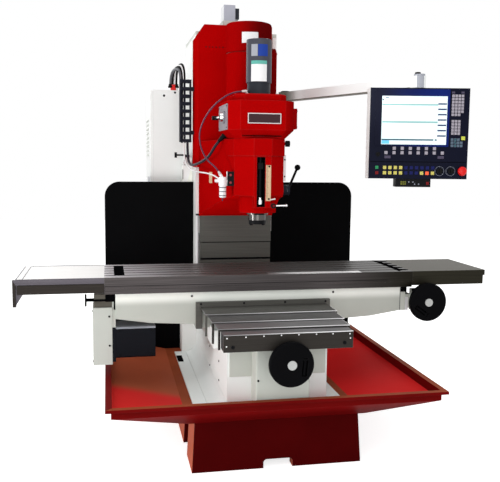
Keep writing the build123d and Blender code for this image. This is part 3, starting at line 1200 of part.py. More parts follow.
# Spindle with a tapered mouth and two drive keys
with BuildPart() as spindle:
    bar((0, SPINDLE_Y, NOSE_BOTTOM), (0, 0, 1), NOSE_R, QUILL_Z[0] - SLIDE_GAP - NOSE_BOTTOM)
    bar((0, SPINDLE_Y, NOSE_BOTTOM), (0, 0, 1), SPINDLE_R, SPINDLE_TOP - NOSE_BOTTOM)
    with Locations((0, SPINDLE_Y, NOSE_BOTTOM)):
        Cone(TAPER_MOUTH_R, TAPER_TOP_R, TAPER_DEPTH, align=(Align.CENTER, Align.CENTER, Align.MIN),
             mode=Mode.SUBTRACT)
    bar((0, SPINDLE_Y, NOSE_BOTTOM), (0, 0, 1), 9, SPINDLE_TOP - NOSE_BOTTOM + 1, Mode.SUBTRACT)
    for x in sides((TAPER_MOUTH_R + 4, NOSE_R - 6)):
        block(x, (SPINDLE_Y - DRIVE_KEY, SPINDLE_Y + DRIVE_KEY), (NOSE_BOTTOM - DRIVE_KEY, NOSE_BOTTOM))
spindle.part.label = "spindle"
export_step(spindle.part, "parts/spindle.step")

# Quill feed lever and its ball knob
with BuildPart() as feed_lever:
    bar((FEED_BOSS + SLIDE_GAP, FEED_Y, FEED_Z), (1, 0, 0), 30, 40)
    bar((FEED_BOSS - 45, FEED_Y, FEED_Z), (1, 0, 0), 12, 60)
    link((FEED_BOSS + 34, FEED_Y, FEED_Z), FEED_KNOB, 7)
    with Locations(FEED_KNOB):
        Sphere(17)
feed_lever.part.label = "feed_lever"
export_step(feed_lever.part, "parts/feed_lever.step")

# Quill lock lever
with BuildPart() as lock_lever:
    bar((LOCK_X, LOCK_FRONT - SLIDE_GAP, LOCK_Z), (0, -1, 0), 14, 16)
    bar((LOCK_X, LOCK_FRONT - SLIDE_GAP, LOCK_Z), (0, 1, 0), 7, 22)
    link((LOCK_X, LOCK_FRONT - 8, LOCK_Z), (LOCK_X + 70, LOCK_FRONT - 14, LOCK_Z + 2), 5)
    with Locations((LOCK_X + 70, LOCK_FRONT - 14, LOCK_Z + 2)):
        Sphere(8)
lock_lever.part.label = "lock_lever"
export_step(lock_lever.part, "parts/lock_lever.step")

# Air regulator on a bracket at the left of the quill housing, with a slanting inlet
INLET_WAY = Vector(-0.35, 0.61, 0.71).normalized()
INLET_FOOT = Vector(REGULATOR_X, REGULATOR_Y, REGULATOR_BODY_Z[1] - 8)
INLET_END = INLET_FOOT + INLET_WAY * REGULATOR_INLET
INLET_APPROACH = INLET_END + INLET_WAY * 54
with BuildPart() as air_regulator:
    seat = (HEAD_NOSE_Y, HEAD_NOSE_Y + REGULATOR_SEAT)
    flank = (-head_flank(seat[0]), -head_flank(seat[1]))
    outer = REGULATOR_BRACKET_X
    bracket = [(outer, seat[0]), (flank[0], seat[0]), (flank[1], seat[1]), (outer, seat[1])]
    slab_z(bracket, REGULATOR_BRACKET_Z)
    body_low, body_high = REGULATOR_BODY_Z
    bar((REGULATOR_X, REGULATOR_Y, body_low), (0, 0, 1), REGULATOR_BODY_R, body_high - body_low)
    bowl = body_low + 4 - REGULATOR_BOWL_BOTTOM
    bar((REGULATOR_X, REGULATOR_Y, REGULATOR_BOWL_BOTTOM), (0, 0, 1), REGULATOR_BOWL_R, bowl)
    fillet(air_regulator.faces().sort_by(Axis.Z)[0].edges(), 8)
    bar((REGULATOR_X, REGULATOR_Y, REGULATOR_PORT_Z), (1, 0, 0), 12, outer - REGULATOR_X)
    bar((REGULATOR_X, REGULATOR_Y, REGULATOR_PORT_Z), (0, 1, 0), 9, REGULATOR_PORT)
    bar(INLET_FOOT, INLET_WAY, 8, REGULATOR_INLET)
air_regulator.part.label = "air_regulator"
export_step(air_regulator.part, "parts/air_regulator.step")

# Cable chain: a ladder of side plates and rungs, held to the casing
with BuildPart() as cable_chain:
    for x in ((CHAIN_X[0], CHAIN_X[0] + CHAIN_PLATE), (CHAIN_X[1] - CHAIN_PLATE, CHAIN_X[1])):
        block(x, CHAIN_Y, CHAIN_Z)
    pitch = (CHAIN_Z[1] - CHAIN_Z[0] - CHAIN_RUNG) / (CHAIN_RUNGS - 1)
    for number in range(CHAIN_RUNGS):
        z = CHAIN_Z[0] + number * pitch
        for y in ((CHAIN_Y[0], CHAIN_Y[0] + CHAIN_BAR), (CHAIN_Y[1] - CHAIN_BAR, CHAIN_Y[1])):
            block(CHAIN_X, y, (z, z + CHAIN_RUNG))
    for z in (CHAIN_Z[0] + CHAIN_CLIP_IN[0], CHAIN_Z[1] - CHAIN_CLIP_IN[1]):
        block((CHAIN_X[1], CASING_SIDE_X), (CHAIN_Y[0] + 5, CHAIN_Y[1] - 5), (z, z + CHAIN_CLIP))
    for x in LOOP_X:
        bar((x, CHAIN_HOSE_Y, CHAIN_Z[0] - 5), (0, 0, 1), LOOP_R, CHAIN_Z[1] - CHAIN_Z[0] + 5)
cable_chain.part.label = "cable_chain"
export_step(cable_chain.part, "parts/cable_chain.step")

# Hose loop from the chain's top over to the connectors on the cabinet
with BuildPart() as chain_hoses:
    for x, socket_x, crest in zip(LOOP_X, SOCKET_X, LOOP_CRESTS):
        tube([
            (x, CHAIN_HOSE_Y, CHAIN_Z[1]),
            (x, CHAIN_HOSE_Y, crest),
            (socket_x, SOCKET_Y, crest),
            (socket_x, SOCKET_Y, SOCKET_TOP),
        ], [LOOP_BEND, LOOP_BEND], LOOP_R)
chain_hoses.part.label = "chain_hoses"
export_step(chain_hoses.part, "parts/chain_hoses.step")

# Motor cable from the chain's foot to a gland on the belt housing's bevel
GLAND = (-HOUSING_HALF + HOUSING_BEVEL - GLAND_RISE, GLAND_Y, HEAD_TOP + GLAND_RISE)
GLAND_SLANT = GLAND_REACH / math.sqrt(2)
CABLE_ROUTE = [
    (-311, CHAIN_HOSE_Y, CHAIN_Z[0] + 5),
    (-311, 397, 1565),
    (-308, 318, 1510),
    (-299, 195, 1502),
    (-282, 75, 1514),
    (-262, -42, 1532),
    (-239, -146, 1564),
    (GLAND[0] - GLAND_SLANT, GLAND[1], GLAND[2] - GLAND_SLANT),
    GLAND,
]
with BuildPart() as motor_cable:
    cable_radii = bends(CABLE_ROUTE)
    tube(CABLE_ROUTE, cable_radii, CABLE_R)
motor_cable.part.label = "motor_cable"
export_step(motor_cable.part, "parts/motor_cable.step")

# Air hoses: from the drawbar unit down to the regulator, and from the chain's foot to the regulator
DRAWBAR_ROUTE = [
    (-DRAWBAR_PORT, SPINDLE_Y - 23, DRAWBAR_PORT_Z),
    (-118, SPINDLE_Y - 23, DRAWBAR_PORT_Z),
    (-168, -368, 1898),
    (-220, -336, 1862),
    (-264, -294, 1812),
    (-296, -252, 1752),
    (-312, -222, 1690),
    (-307, -214, 1626),
    (-288, -234, 1566),
    (-262, -282, 1524),
    tuple(INLET_APPROACH),
    tuple(INLET_END),
]
SUPPLY_ROUTE = [
    (-338, 388, CHAIN_Z[0] + 5),
    (-337, 386, 1588),
    (-332, 350, 1524),
    (-317, 262, 1482),
    (-294, 142, 1466),
    (-272, 22, 1462),
    (-252, -98, 1460),
    (-231, -208, 1452),
    (-212, -280, 1436),
    (REGULATOR_X, REGULATOR_Y + REGULATOR_PORT + 32, REGULATOR_PORT_Z),
    (REGULATOR_X, REGULATOR_Y + REGULATOR_PORT, REGULATOR_PORT_Z),
]
with BuildPart() as air_hoses:
    drawbar_radii = bends(DRAWBAR_ROUTE)
    supply_radii = bends(SUPPLY_ROUTE)
    tube(DRAWBAR_ROUTE, drawbar_radii, HOSE_R)
    tube(SUPPLY_ROUTE, supply_radii, HOSE_R)
air_hoses.part.label = "air_hoses"
export_step(air_hoses.part, "parts/air_hoses.step")
for name, radii in zip(("cable", "drawbar hose", "supply hose"), (cable_radii, drawbar_radii, supply_radii)):
    print(name, "corner radii:", [round(radius) for radius in radii])

# Lubricator beside the column
with BuildPart() as lubricator:
    block((LUBRICATOR_LEFT, -COLUMN_HALF), LUBRICATOR_Y, LUBRICATOR_Z)
    block((LUBRICATOR_LEFT + 10, -COLUMN_HALF - 6), (LUBRICATOR_Y[0] + 10, LUBRICATOR_Y[1] - 10),
          (LUBRICATOR_Z[1], LUBRICATOR_Z[1] + LUBRICATOR_CAP))
    fillet(lubricator.edges().filter_by(Axis.Z), 8)
lubricator.part.label = "lubricator"
export_step(lubricator.part, "parts/lubricator.step")

# Electrical cabinet, open at its left side, with hose connectors on top
with BuildPart() as electrical_cabinet:
    block(CABINET_X, CABINET_Y, CABINET_Z)
    inside_y = (CABINET_Y[0] + CABINET_WALL, CABINET_Y[1] - CABINET_WALL)
    inside_z = (CABINET_Z[0] + CABINET_WALL, CABINET_Z[1] - CABINET_WALL)
    block((CABINET_X[0], CABINET_X[1] - CABINET_WALL), inside_y, inside_z, Mode.SUBTRACT)
    hinge_heights = (CABINET_Z[0] + HINGE_INSET, CABINET_Z[1] - HINGE_INSET)
    for z in hinge_heights:
        block((HINGE_X, CABINET_X[0]), (HINGE_Y - 3, HINGE_Y + 3), (z, z + HINGE_LENGTH))
        bar((HINGE_X, HINGE_Y, z), (0, 0, 1), HINGE_R, HINGE_LENGTH)
        bar((HINGE_X, HINGE_Y, z - HINGE_LENGTH - 5), (0, 0, 1), HINGE_PIN_R, HINGE_LENGTH + 10)
    for x in SOCKET_X:
        bar((x, SOCKET_Y, CABINET_Z[1]), (0, 0, 1), SOCKET_R, SOCKET_TOP - CABINET_Z[1])
electrical_cabinet.part.label = "electrical_cabinet"
export_step(electrical_cabinet.part, "parts/electrical_cabinet.step")

# Cabinet door on two hinges
with BuildPart() as cabinet_door:
    door_x = (CABINET_X[0] - FREE_GAP - DOOR_T, CABINET_X[0] - FREE_GAP)
    block(door_x, (CABINET_Y[0] + 5, HINGE_Y - 10), (CABINET_Z[0] + 5, CABINET_Z[1] - 5))
    fillet(cabinet_door.edges().group_by(Axis.X)[0], 4)
    block((door_x[0] + DOOR_SHEET, door_x[1]), (CABINET_Y[0] + 25, HINGE_Y - 30),
          (CABINET_Z[0] + 25, CABINET_Z[1] - 25), Mode.SUBTRACT)
    for z in hinge_heights:
        leaf = z - HINGE_LENGTH - 2
        block((HINGE_X - 3, HINGE_X + 3), (HINGE_Y - 12, HINGE_Y), (leaf, leaf + HINGE_LENGTH))
        bar((HINGE_X, HINGE_Y, leaf), (0, 0, 1), HINGE_R, HINGE_LENGTH)
        bar((HINGE_X, HINGE_Y, leaf - 8), (0, 0, 1), HINGE_PIN_R + RUN_GAP, HINGE_LENGTH + 20, Mode.SUBTRACT)
cabinet_door.part.label = "cabinet_door"
export_step(cabinet_door.part, "parts/cabinet_door.step")

# Pivot bracket of the control arm on the column's right side
with BuildPart() as arm_bracket:
    bracket_end = PIVOT_X + BRACKET_HALF
    bracket_z = (ARM_Z[0] - BRACKET_HEIGHT, ARM_Z[0] - SLIDE_GAP)
    block((COLUMN_HALF, bracket_end), (PIVOT_Y - BRACKET_HALF, PIVOT_Y + BRACKET_HALF), bracket_z)
    bar((PIVOT_X, PIVOT_Y, ARM_Z[0] - 2), (0, 0, 1), ARM_PIN_R, ARM_Z[1] - ARM_Z[0] + 1)
    upright = arm_bracket.edges().filter_by(Axis.Z)
    fillet(upright.filter_by_position(Axis.X, bracket_end - 1, bracket_end + 1), 25)
arm_bracket.part.label = "arm_bracket"
export_step(arm_bracket.part, "parts/arm_bracket.step")

# Control arm: rectangular tube between the pivot hub and the panel's post hub
with BuildPart() as control_arm:
    reach = Vector(PANEL_X - PIVOT_X, PANEL_Y - PIVOT_Y, 0)
    arm_plane = Plane(origin=(PIVOT_X, PIVOT_Y, sum(ARM_Z) / 2), x_dir=(0, 0, 1), z_dir=tuple(reach))
    with BuildSketch(arm_plane) as arm_outside:
        RectangleRounded(ARM_Z[1] - ARM_Z[0], ARM_WIDTH, 4)
    extrude(arm_outside.sketch, amount=reach.length)
    with BuildSketch(arm_plane.offset(ARM_HUB_R)) as arm_inside:
        Rectangle(ARM_Z[1] - ARM_Z[0] - 2 * ARM_SHELL, ARM_WIDTH - 2 * ARM_SHELL)
    extrude(arm_inside.sketch, amount=reach.length - ARM_HUB_R - POST_HUB_R, mode=Mode.SUBTRACT)
    bar((PIVOT_X, PIVOT_Y, ARM_Z[0]), (0, 0, 1), ARM_HUB_R, ARM_Z[1] - ARM_Z[0])
    bar((PANEL_X, PANEL_Y, ARM_Z[0]), (0, 0, 1), POST_HUB_R, ARM_Z[1] - ARM_Z[0])
    hub_bore = ARM_Z[1] - ARM_Z[0] + 2
    bar((PIVOT_X, PIVOT_Y, ARM_Z[0] - 1), (0, 0, 1), ARM_PIN_R + RUN_GAP, hub_bore, Mode.SUBTRACT)
    bar((PANEL_X, PANEL_Y, ARM_Z[0] - 1), (0, 0, 1), POST_R + RUN_GAP, hub_bore, Mode.SUBTRACT)
control_arm.part.label = "control_arm"
export_step(control_arm.part, "parts/control_arm.step")

# Panel housing with its face, a box below and the swivel post
with BuildPart() as panel_housing:
    panel_y = (PANEL_FRONT, PANEL_FRONT + PANEL_DEPTH)
    panel_block((-PANEL_HALF, PANEL_HALF), panel_y, PANEL_Z)
    panel_in = PANEL_HALF - PANEL_SHELL
    panel_block((-panel_in, panel_in), (panel_y[0], panel_y[1] - PANEL_SHELL),
                (PANEL_Z[0] + PANEL_SHELL, PANEL_Z[1] - PANEL_SHELL), Mode.SUBTRACT)
    post_foot = PANEL_Z[1] - PANEL_SHELL
    bar((PANEL_X, PANEL_Y, post_foot), (0, 0, 1), POST_R, ARM_Z[1] + PANEL_SHELL - post_foot)
    face_y = (PANEL_FRONT - FACE_T, PANEL_FRONT)
    panel_block((-PANEL_HALF, PANEL_HALF), face_y, PANEL_Z)
    for x, r in ((FEED_DIAL_X, 5), (SPEED_DIAL_X, 5), (STOP_BUTTON_X, 9)):
        panel_bar(x, PANEL_FRONT + 1, CONTROL_Z, r + RUN_GAP, FACE_T + 2, Mode.SUBTRACT)
    panel_block(AUX_X, (PANEL_FRONT + 5, PANEL_FRONT + 5 + AUX_DEPTH), (PANEL_Z[0] - AUX_HEIGHT, PANEL_Z[0]))
    bar((PANEL_X, PANEL_Y, ARM_Z[1] + SLIDE_GAP), (0, 0, 1), POST_HUB_R - 4, 10)
panel_housing.part.label = "panel_housing"
export_step(panel_housing.part, "parts/panel_housing.step")

# Screen
with BuildPart() as panel_screen:
    panel_block(SCREEN_X, (face_y[0] - 3, face_y[0]), SCREEN_Z)
panel_screen.part.label = "panel_screen"
export_step(panel_screen.part, "parts/panel_screen.step")


def dial(x):
    """Override dial with a grip bar, on a shaft through the panel's face."""
    panel_bar(x, face_y[0] - SLIDE_GAP, CONTROL_Z, DIAL_R, 12)
    panel_bar(x, PANEL_FRONT + 8, CONTROL_Z, 5, FACE_T + 12)
    panel_block((x - 3.5, x + 3.5), (face_y[0] - 22, face_y[0] - 10), (CONTROL_Z - 14, CONTROL_Z + 14))


# Two override dials
with BuildPart() as feed_dial:
    dial(FEED_DIAL_X)
feed_dial.part.label = "feed_dial"
export_step(feed_dial.part, "parts/feed_dial.step")

with BuildPart() as speed_dial:
    dial(SPEED_DIAL_X)
speed_dial.part.label = "speed_dial"
export_step(speed_dial.part, "parts/speed_dial.step")

# Emergency stop: red mushroom on a plunger that travels into the panel
with BuildPart() as stop_button:
    panel_bar(STOP_BUTTON_X, face_y[0] - 12, CONTROL_Z, STOP_BUTTON_R, 14)
    fillet(stop_button.edges().filter_by(GeomType.CIRCLE).sort_by(Axis.Y)[:1], 4)
    panel_bar(STOP_BUTTON_X, PANEL_FRONT + 10, CONTROL_Z, 9, FACE_T + 24)
stop_button.part.label = "stop_button"
export_step(stop_button.part, "parts/stop_button.step")

# Keys on the panel's face, in rows beside and below the screen
with BuildPart() as panel_keys:
    key_y = (face_y[0] - KEY_T, face_y[0])
    for left, top, pitch, key, columns, rows in (
        (PAD_X, PAD_TOP, PAD_PITCH, PAD_KEY, 4, 6),
        (PAD_X, NUMBER_TOP, NUMBER_PITCH, NUMBER_KEY, 3, 4),
        (ROW_X, ROW_TOP, ROW_PITCH, ROW_KEY, 13, 2),
    ):
        for column in range(columns):
            for row in range(rows):
                x = left + column * pitch[0]
                z = top - row * pitch[1]
                panel_block((x, x + key[0]), key_y, (z - key[1], z))
    for count, top in zip((6, 8), SOFT_TOPS):
        pitch = SOFT_WIDTH / count
        for number in range(count):
            x = SCREEN_X[0] + SOFT_GAP + number * pitch
            panel_block((x, x + pitch - SOFT_GAP), key_y, (top - SOFT_HEIGHT, top))
panel_keys.part.label = "panel_keys"
export_step(panel_keys.part, "parts/panel_keys.step")
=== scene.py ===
"""Looks of the bed type milling machine: camera, cords, finishes, fine detail, floor and light.

Shapes are given in millimetres in the CAD frame and scaled to metres when a mesh is made.
"""

import json
import math
from functools import partial
from itertools import product

import bmesh
import bpy
from mathutils import Matrix, Vector


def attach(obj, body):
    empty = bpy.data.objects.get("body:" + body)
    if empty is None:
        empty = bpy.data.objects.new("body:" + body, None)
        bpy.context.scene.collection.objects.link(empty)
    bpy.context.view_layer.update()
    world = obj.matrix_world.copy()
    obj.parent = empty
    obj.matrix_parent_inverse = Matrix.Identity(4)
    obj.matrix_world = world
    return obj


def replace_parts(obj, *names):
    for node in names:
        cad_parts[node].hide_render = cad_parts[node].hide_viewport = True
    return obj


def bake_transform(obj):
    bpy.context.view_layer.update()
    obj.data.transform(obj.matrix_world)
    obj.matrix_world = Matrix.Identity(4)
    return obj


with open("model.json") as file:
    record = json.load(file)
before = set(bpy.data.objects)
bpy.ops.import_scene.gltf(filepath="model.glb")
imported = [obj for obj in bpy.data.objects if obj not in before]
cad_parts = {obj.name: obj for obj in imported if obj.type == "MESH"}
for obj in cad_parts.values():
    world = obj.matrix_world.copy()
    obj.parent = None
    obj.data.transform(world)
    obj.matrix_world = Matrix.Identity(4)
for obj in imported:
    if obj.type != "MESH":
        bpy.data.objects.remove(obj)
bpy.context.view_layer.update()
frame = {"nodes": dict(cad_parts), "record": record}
NODES = frame["nodes"]
MM = 0.001

# Camera at the photograph's view: place in metres, angles in degrees, lens and sensor in millimetres
CAMERA_AT = (-0.8317, -4.3424, 1.5423)
CAMERA_YAW = 11.26
CAMERA_PITCH = -6.45
CAMERA_ROLL = 0.6
CAMERA_LENS = 51.905
SENSOR_WIDTH = 36
CLIP_END = 60

# Floor and light: metres, strengths and degrees
FLOOR_REACH = 14.0
FLOOR_GLOW = 0.74
FLOOR_TINT = (0.9, 0.9, 0.9, 1)
WORLD_LIGHT = 0.6
ARM_BEAM = 7.6
BEAM_BLEND = 0.6
BEAM_SOURCE = 0.1

# Surfaces: spread of the gloss, depth of the grain in metres, place of the drift and tint of worn edges
GLOSS_SPREAD = 0.07
GRAIN_DEPTH = 0.0006
DRIFT_FROM, DRIFT_TO = 0.3, 0.7
WEAR_FROM, WEAR_TO = 0.98, 0.85
WORN_TINT = (0.55, 0.5, 0.48, 1)
BRIGHT = (1, 1, 1, 1)

# Fineness of round shapes, and angles in degrees from which edges are sharp or rounded
SIDES = 28
ARC_STEPS = 14
SHARP_ANGLE = 32
BEVEL_ANGLE = 40

# Places shared by several details, in millimetres
SPINDLE_Y = -365.0
MOTOR_Y = -62.0
DRAWBAR_R = 70.0
PLATE_FACE = -499.9
STOP_SCREW = (-9, -472)
REGULATOR = (-202, -390)
FEED_HUB = (-315, 1370)
LOCK_HUB = (58, 1292)
SLOT_PITCH = 80.0
TABLE_Y = -364.5
DRIVE_FACE = -540
END_FACE = -1139
BED_SIDE = 257
PAN_FLOOR = 268
COVE_R = 73
ARM_PIVOT = (370, 520)
PANEL_AT = (835.0, -620.0, 0.0)
PANEL_TURN = -12.0
PANEL_FACE = -36.0
PANEL_LOW, PANEL_TOP = 1446, 1999
SCREEN_FACE = -39.0
CONTROL_Z = 1490.0
Y_WHEEL = Vector((0, -1198, 598))
X_WHEEL = Vector((922, -658, 760))
WHEEL_CAP_R = 22.0
CABLE_R = 8.0
HOSE_R = 4.5

X, Y, Z = "X", "Y", "Z"
PANEL = Matrix.Translation(PANEL_AT) @ Matrix.Rotation(math.radians(PANEL_TURN), 4, Z)
LEFT, RIGHT, FORWARD, BACK, UP = (-1, 0, 0), (1, 0, 0), (0, -1, 0), (0, 1, 0), (0, 0, 1)


def new_object(name, data):
    """Object in the scene."""
    obj = bpy.data.objects.new(name, data)
    bpy.context.scene.collection.objects.link(obj)
    return obj


def add_camera():
    """Camera with the photograph's place, direction, roll and field of view."""
    yaw, pitch, roll = (math.radians(a) for a in (CAMERA_YAW, CAMERA_PITCH, CAMERA_ROLL))
    level = Matrix.Rotation(-yaw, 4, Z) @ Matrix.Rotation(math.pi / 2 + pitch, 4, X)
    data = bpy.data.cameras.new("camera")
    data.lens = CAMERA_LENS
    data.sensor_width = SENSOR_WIDTH
    data.clip_end = CLIP_END
    camera = new_object("camera", data)
    camera.matrix_world = Matrix.Translation(CAMERA_AT) @ level @ Matrix.Rotation(roll, 4, Z)
    bpy.context.scene.camera = camera


def srgb(colour):
    """Colour seen as 0 to 255 values, as the linear colour that shaders take."""
    linear = []
    for value in colour:
        share = value / 255
        linear.append(share / 12.92 if share <= 0.04045 else ((share + 0.055) / 1.055) ** 2.4)
    return linear


def set_inputs(tree, node, inputs):
    """Give a shader node its inputs: values, or outputs of other nodes."""
    for socket, value in inputs.items():
        if isinstance(value, bpy.types.NodeSocket):
            tree.links.new(value, node.inputs[socket])
        else:
            node.inputs[socket].default_value = value


def wire(tree, kind, out, inputs, **settings):
    """One output of a new shader node."""
    node = tree.nodes.new("ShaderNode" + kind)
    for key, value in settings.items():
        setattr(node, key, value)
    set_inputs(tree, node, inputs)
    return node.outputs[out]


def drifting(tree, cloud, colour, drift):
    """Colour that wanders a little lighter and darker with the cloud."""
    shade = wire(tree, "ValToRGB", "Color", {"Fac": cloud})
    low, high = shade.node.color_ramp.elements
    low.position = DRIFT_FROM
    high.position = DRIFT_TO
    linear = srgb(colour)
    low.color = (*[c * (1 - drift) for c in linear], 1)
    high.color = (*[min(1, c * (1 + drift)) for c in linear], 1)
    return shade


def fading(tree, place, cloud, shade, fade, drift):
    """Colour that turns to another one along an axis."""
    axis, start, end, other = fade
    along = wire(tree, "SeparateXYZ", axis, {"Vector": place})
    share = wire(tree, "MapRange", "Result", {"Value": along, "From Min": start, "From Max": end},
                 interpolation_type="SMOOTHSTEP")
    far_shade = drifting(tree, cloud, other, drift)
    return wire(tree, "MixRGB", "Color", {"Fac": share, "Color1": shade, "Color2": far_shade})


def worn_edges(tree, shade, soft, cloud, wear):
    """Lighter colour where the softened normal leaves the true one, broken up by the cloud."""
    true = wire(tree, "NewGeometry", "Normal", {})
    lean = wire(tree, "VectorMath", "Value", {0: soft, 1: true}, operation="DOT_PRODUCT")
    band = wire(tree, "MapRange", "Result", {"Value": lean, "From Min": WEAR_FROM, "From Max": WEAR_TO})
    patchy = wire(tree, "Math", "Value", {0: band, 1: cloud}, operation="MULTIPLY")
    amount = wire(tree, "Math", "Value", {0: patchy, 1: wear}, operation="MULTIPLY")
    return wire(tree, "MixRGB", "Color", {"Fac": amount, "Color1": shade, "Color2": WORN_TINT},
                blend_type="SCREEN")


SLOT_OF = {}


def finish(name, colour, rough=0.45, slot=None, metal=0.0, drift=0.05, scale=5.0, stretch=(1, 1, 1),
           grain=240.0, bump=0.02, edge=0.0015, wear=0.0, specular=0.1, glow=0.0, fade=None):
    """Surface with slow colour drift, fine grain in gloss and bump, soft edges and worn edges.

    fade is (axis, start, end, colour): the colour turns to the other one along an axis, in metres.
    """
    material = bpy.data.materials.new(name)
    SLOT_OF[material.name] = slot
    material.use_nodes = True
    tree = material.node_tree
    place = wire(tree, "TexCoord", "Object", {})
    mapped = wire(tree, "Mapping", "Vector", {"Vector": place, "Scale": stretch})
    cloud = wire(tree, "TexNoise", "Fac", {"Vector": mapped, "Scale": scale, "Detail": 4})
    fine = wire(tree, "TexNoise", "Fac", {"Vector": mapped, "Scale": grain, "Detail": 2})
    gloss = wire(tree, "MapRange", "Result", {"Value": fine, "To Min": max(0.02, rough - GLOSS_SPREAD),
                                              "To Max": min(1, rough + GLOSS_SPREAD)})
    soft = wire(tree, "Bevel", "Normal", {"Radius": edge}, samples=4)
    relief = wire(tree, "Bump", "Normal", {"Strength": bump, "Distance": GRAIN_DEPTH, "Height": fine,
                                           "Normal": soft})
    shade = drifting(tree, cloud, colour, drift)
    if fade:
        shade = fading(tree, place, cloud, shade, fade, drift)
    if wear:
        shade = worn_edges(tree, shade, soft, cloud, wear)
    look = {"Base Color": shade, "Metallic": metal, "Specular IOR Level": specular, "Roughness": gloss,
            "Normal": relief}
    if glow:
        look.update({"Emission Color": shade, "Emission Strength": glow})
    set_inputs(tree, tree.nodes["Principled BSDF"], look)
    return material


# Families of finishes: the record slot and what the members share
ALONG_X = (0.5, 30, 30)
ALONG_Z = (30, 30, 0.5)
red = partial(finish, slot="red_paint", bump=0.05, specular=0.02)
cast = partial(red, rough=0.38, bump=0.06, wear=0.08, specular=0.0, edge=0.006)
white = partial(finish, slot="white_paint", drift=0.025, bump=0.07)
grey = partial(finish, slot="grey_paint", bump=0.03)
black = partial(finish, slot="black_paint", drift=0.1, bump=0.05)
ground = partial(finish, slot="ground_steel", scale=6, stretch=ALONG_X, grain=60)
sheet = partial(finish, slot="sheet_steel", scale=7, stretch=ALONG_X, grain=60, bump=0.03)
# The strong edge lightening of the cover steel is partly wear, partly painted highlight
cover = partial(sheet, rough=0.34, metal=0.75, drift=0.2, wear=0.7)
plate = partial(finish, slot="sheet_steel")
chrome = partial(finish, slot="chrome", bump=0.01)
machined = partial(finish, slot="machined")
hose = partial(finish, slot="hose", specular=0.3)
plastic = partial(finish, slot="grey_plastic")
key = partial(finish, slot="grey_plastic", drift=0.06, bump=0.03)
paper = partial(finish, slot="white_paint")
screen = partial(finish, slot="screen", rough=0.3, drift=0.04, bump=0.0)

RED = red("red_paint", (174, 3, 4), 0.34, wear=0.08, specular=0.0)
RED_CAST = cast("red_cast_paint", (171, 4, 5))
# Belt housing red, darker towards its right side as painted shade
RED_HOUSING = cast("red_housing_paint", (171, 4, 5), fade=(X, 0.1, 0.2, (140, 4, 5)))
# Brighter red for the underside of the head: painted light where shade falls under it
RED_SLOPE = red("red_slope_paint", (240, 8, 9), 0.4, specular=0.0)
# Motor cap red, darker towards the right as painted shade
RED_DEEP = red("red_cap_paint", (160, 4, 5), 0.4, drift=0.06, bump=0.04, specular=0.0,
               fade=(X, -0.12, 0.06, (98, 6, 7)))
# Motor red, darker towards the right as painted shade
RED_MOTOR = red("red_motor_paint", (165, 3, 4), 0.36, bump=0.04, specular=0.0,
                fade=(X, -0.11, 0.08, (118, 4, 5)))
RED_BASE = red("red_base_paint", (72, 4, 5), drift=0.1, bump=0.08, wear=0.1, specular=0.01, edge=0.006)
# Orange brown on the left faces of the base: painted light on that side
RED_SIDE = red("red_base_side_paint", (176, 78, 46), 0.5, drift=0.16, scale=3, bump=0.06, edge=0.006)
RED_PAN = red("red_pan_paint", (220, 40, 40), 0.5, drift=0.06, scale=2)
# Brighter red of the pan's left slopes as painted light, turning brown towards the rear as a painted
# reflection
RED_DUSTY = red("red_dusty_paint", (212, 44, 42), 0.5, drift=0.08, scale=2,
                fade=(Y, -0.62, -0.48, (170, 84, 56)))
RED_RIM = red("red_rim_paint", (150, 72, 44), drift=0.14, wear=0.2)
RED_LIP = red("red_lip_paint", (108, 9, 9), drift=0.1, wear=0.15)
RED_UNDER = red("red_pan_underside", (124, 9, 10), drift=0.08, fade=(Z, 0.34, 0.27, (98, 6, 7)))

WHITE = white("white_paint", (201, 205, 197))
# Saddle white, lighter towards its top as painted light against the shadow of the table
WHITE_SADDLE = white("saddle_paint", (187, 191, 183), fade=(Z, 0.765, 0.812, (246, 249, 242)))
WHITE_SHADE = white("shaded_white_paint", (190, 194, 187))
# Bed white, brighter and bluer than the white paint as painted light against shade and red bounce light
WHITE_BED = white("bed_paint", (246, 251, 249), drift=0.02, bump=0.05, specular=0.15)
# Brighter white of the cabinet, its door, the column and the lubricator: painted light
WHITE_CLEAN = white("clean_white_paint", (241, 242, 240), drift=0.012, bump=0.04, specular=0.15)
# Arm white, brightened as painted light, darker towards the pivot as the painted shadow of the motor
ARM_WHITE = white("arm_paint", (248, 251, 250), drift=0.012, bump=0.04, specular=0.15,
                  fade=(Y, 0.3, 0.48, (112, 108, 98)))
FACE_NAVY = white("panel_film", (10, 13, 32), 0.4, drift=0.1, bump=0.04, specular=0.06)

BLOCK_GREY = grey("block_grey_paint", (96, 92, 84), 0.5, drift=0.08, bump=0.06)
# Olive grey on the white arm bracket and the arm's lower edge: painted shade
OLIVE = grey("olive_grey_paint", (112, 108, 98), 0.5, drift=0.06, bump=0.05)
GREY = grey("grey_paint", (74, 75, 84), 0.4)
GREY_MID = grey("mid_grey_paint", (178, 178, 190), drift=0.04)
GREY_DARK = grey("dark_grey_paint", (44, 47, 54), 0.4, drift=0.06)
POST_GREY = grey("post_grey_paint", (168, 171, 180))

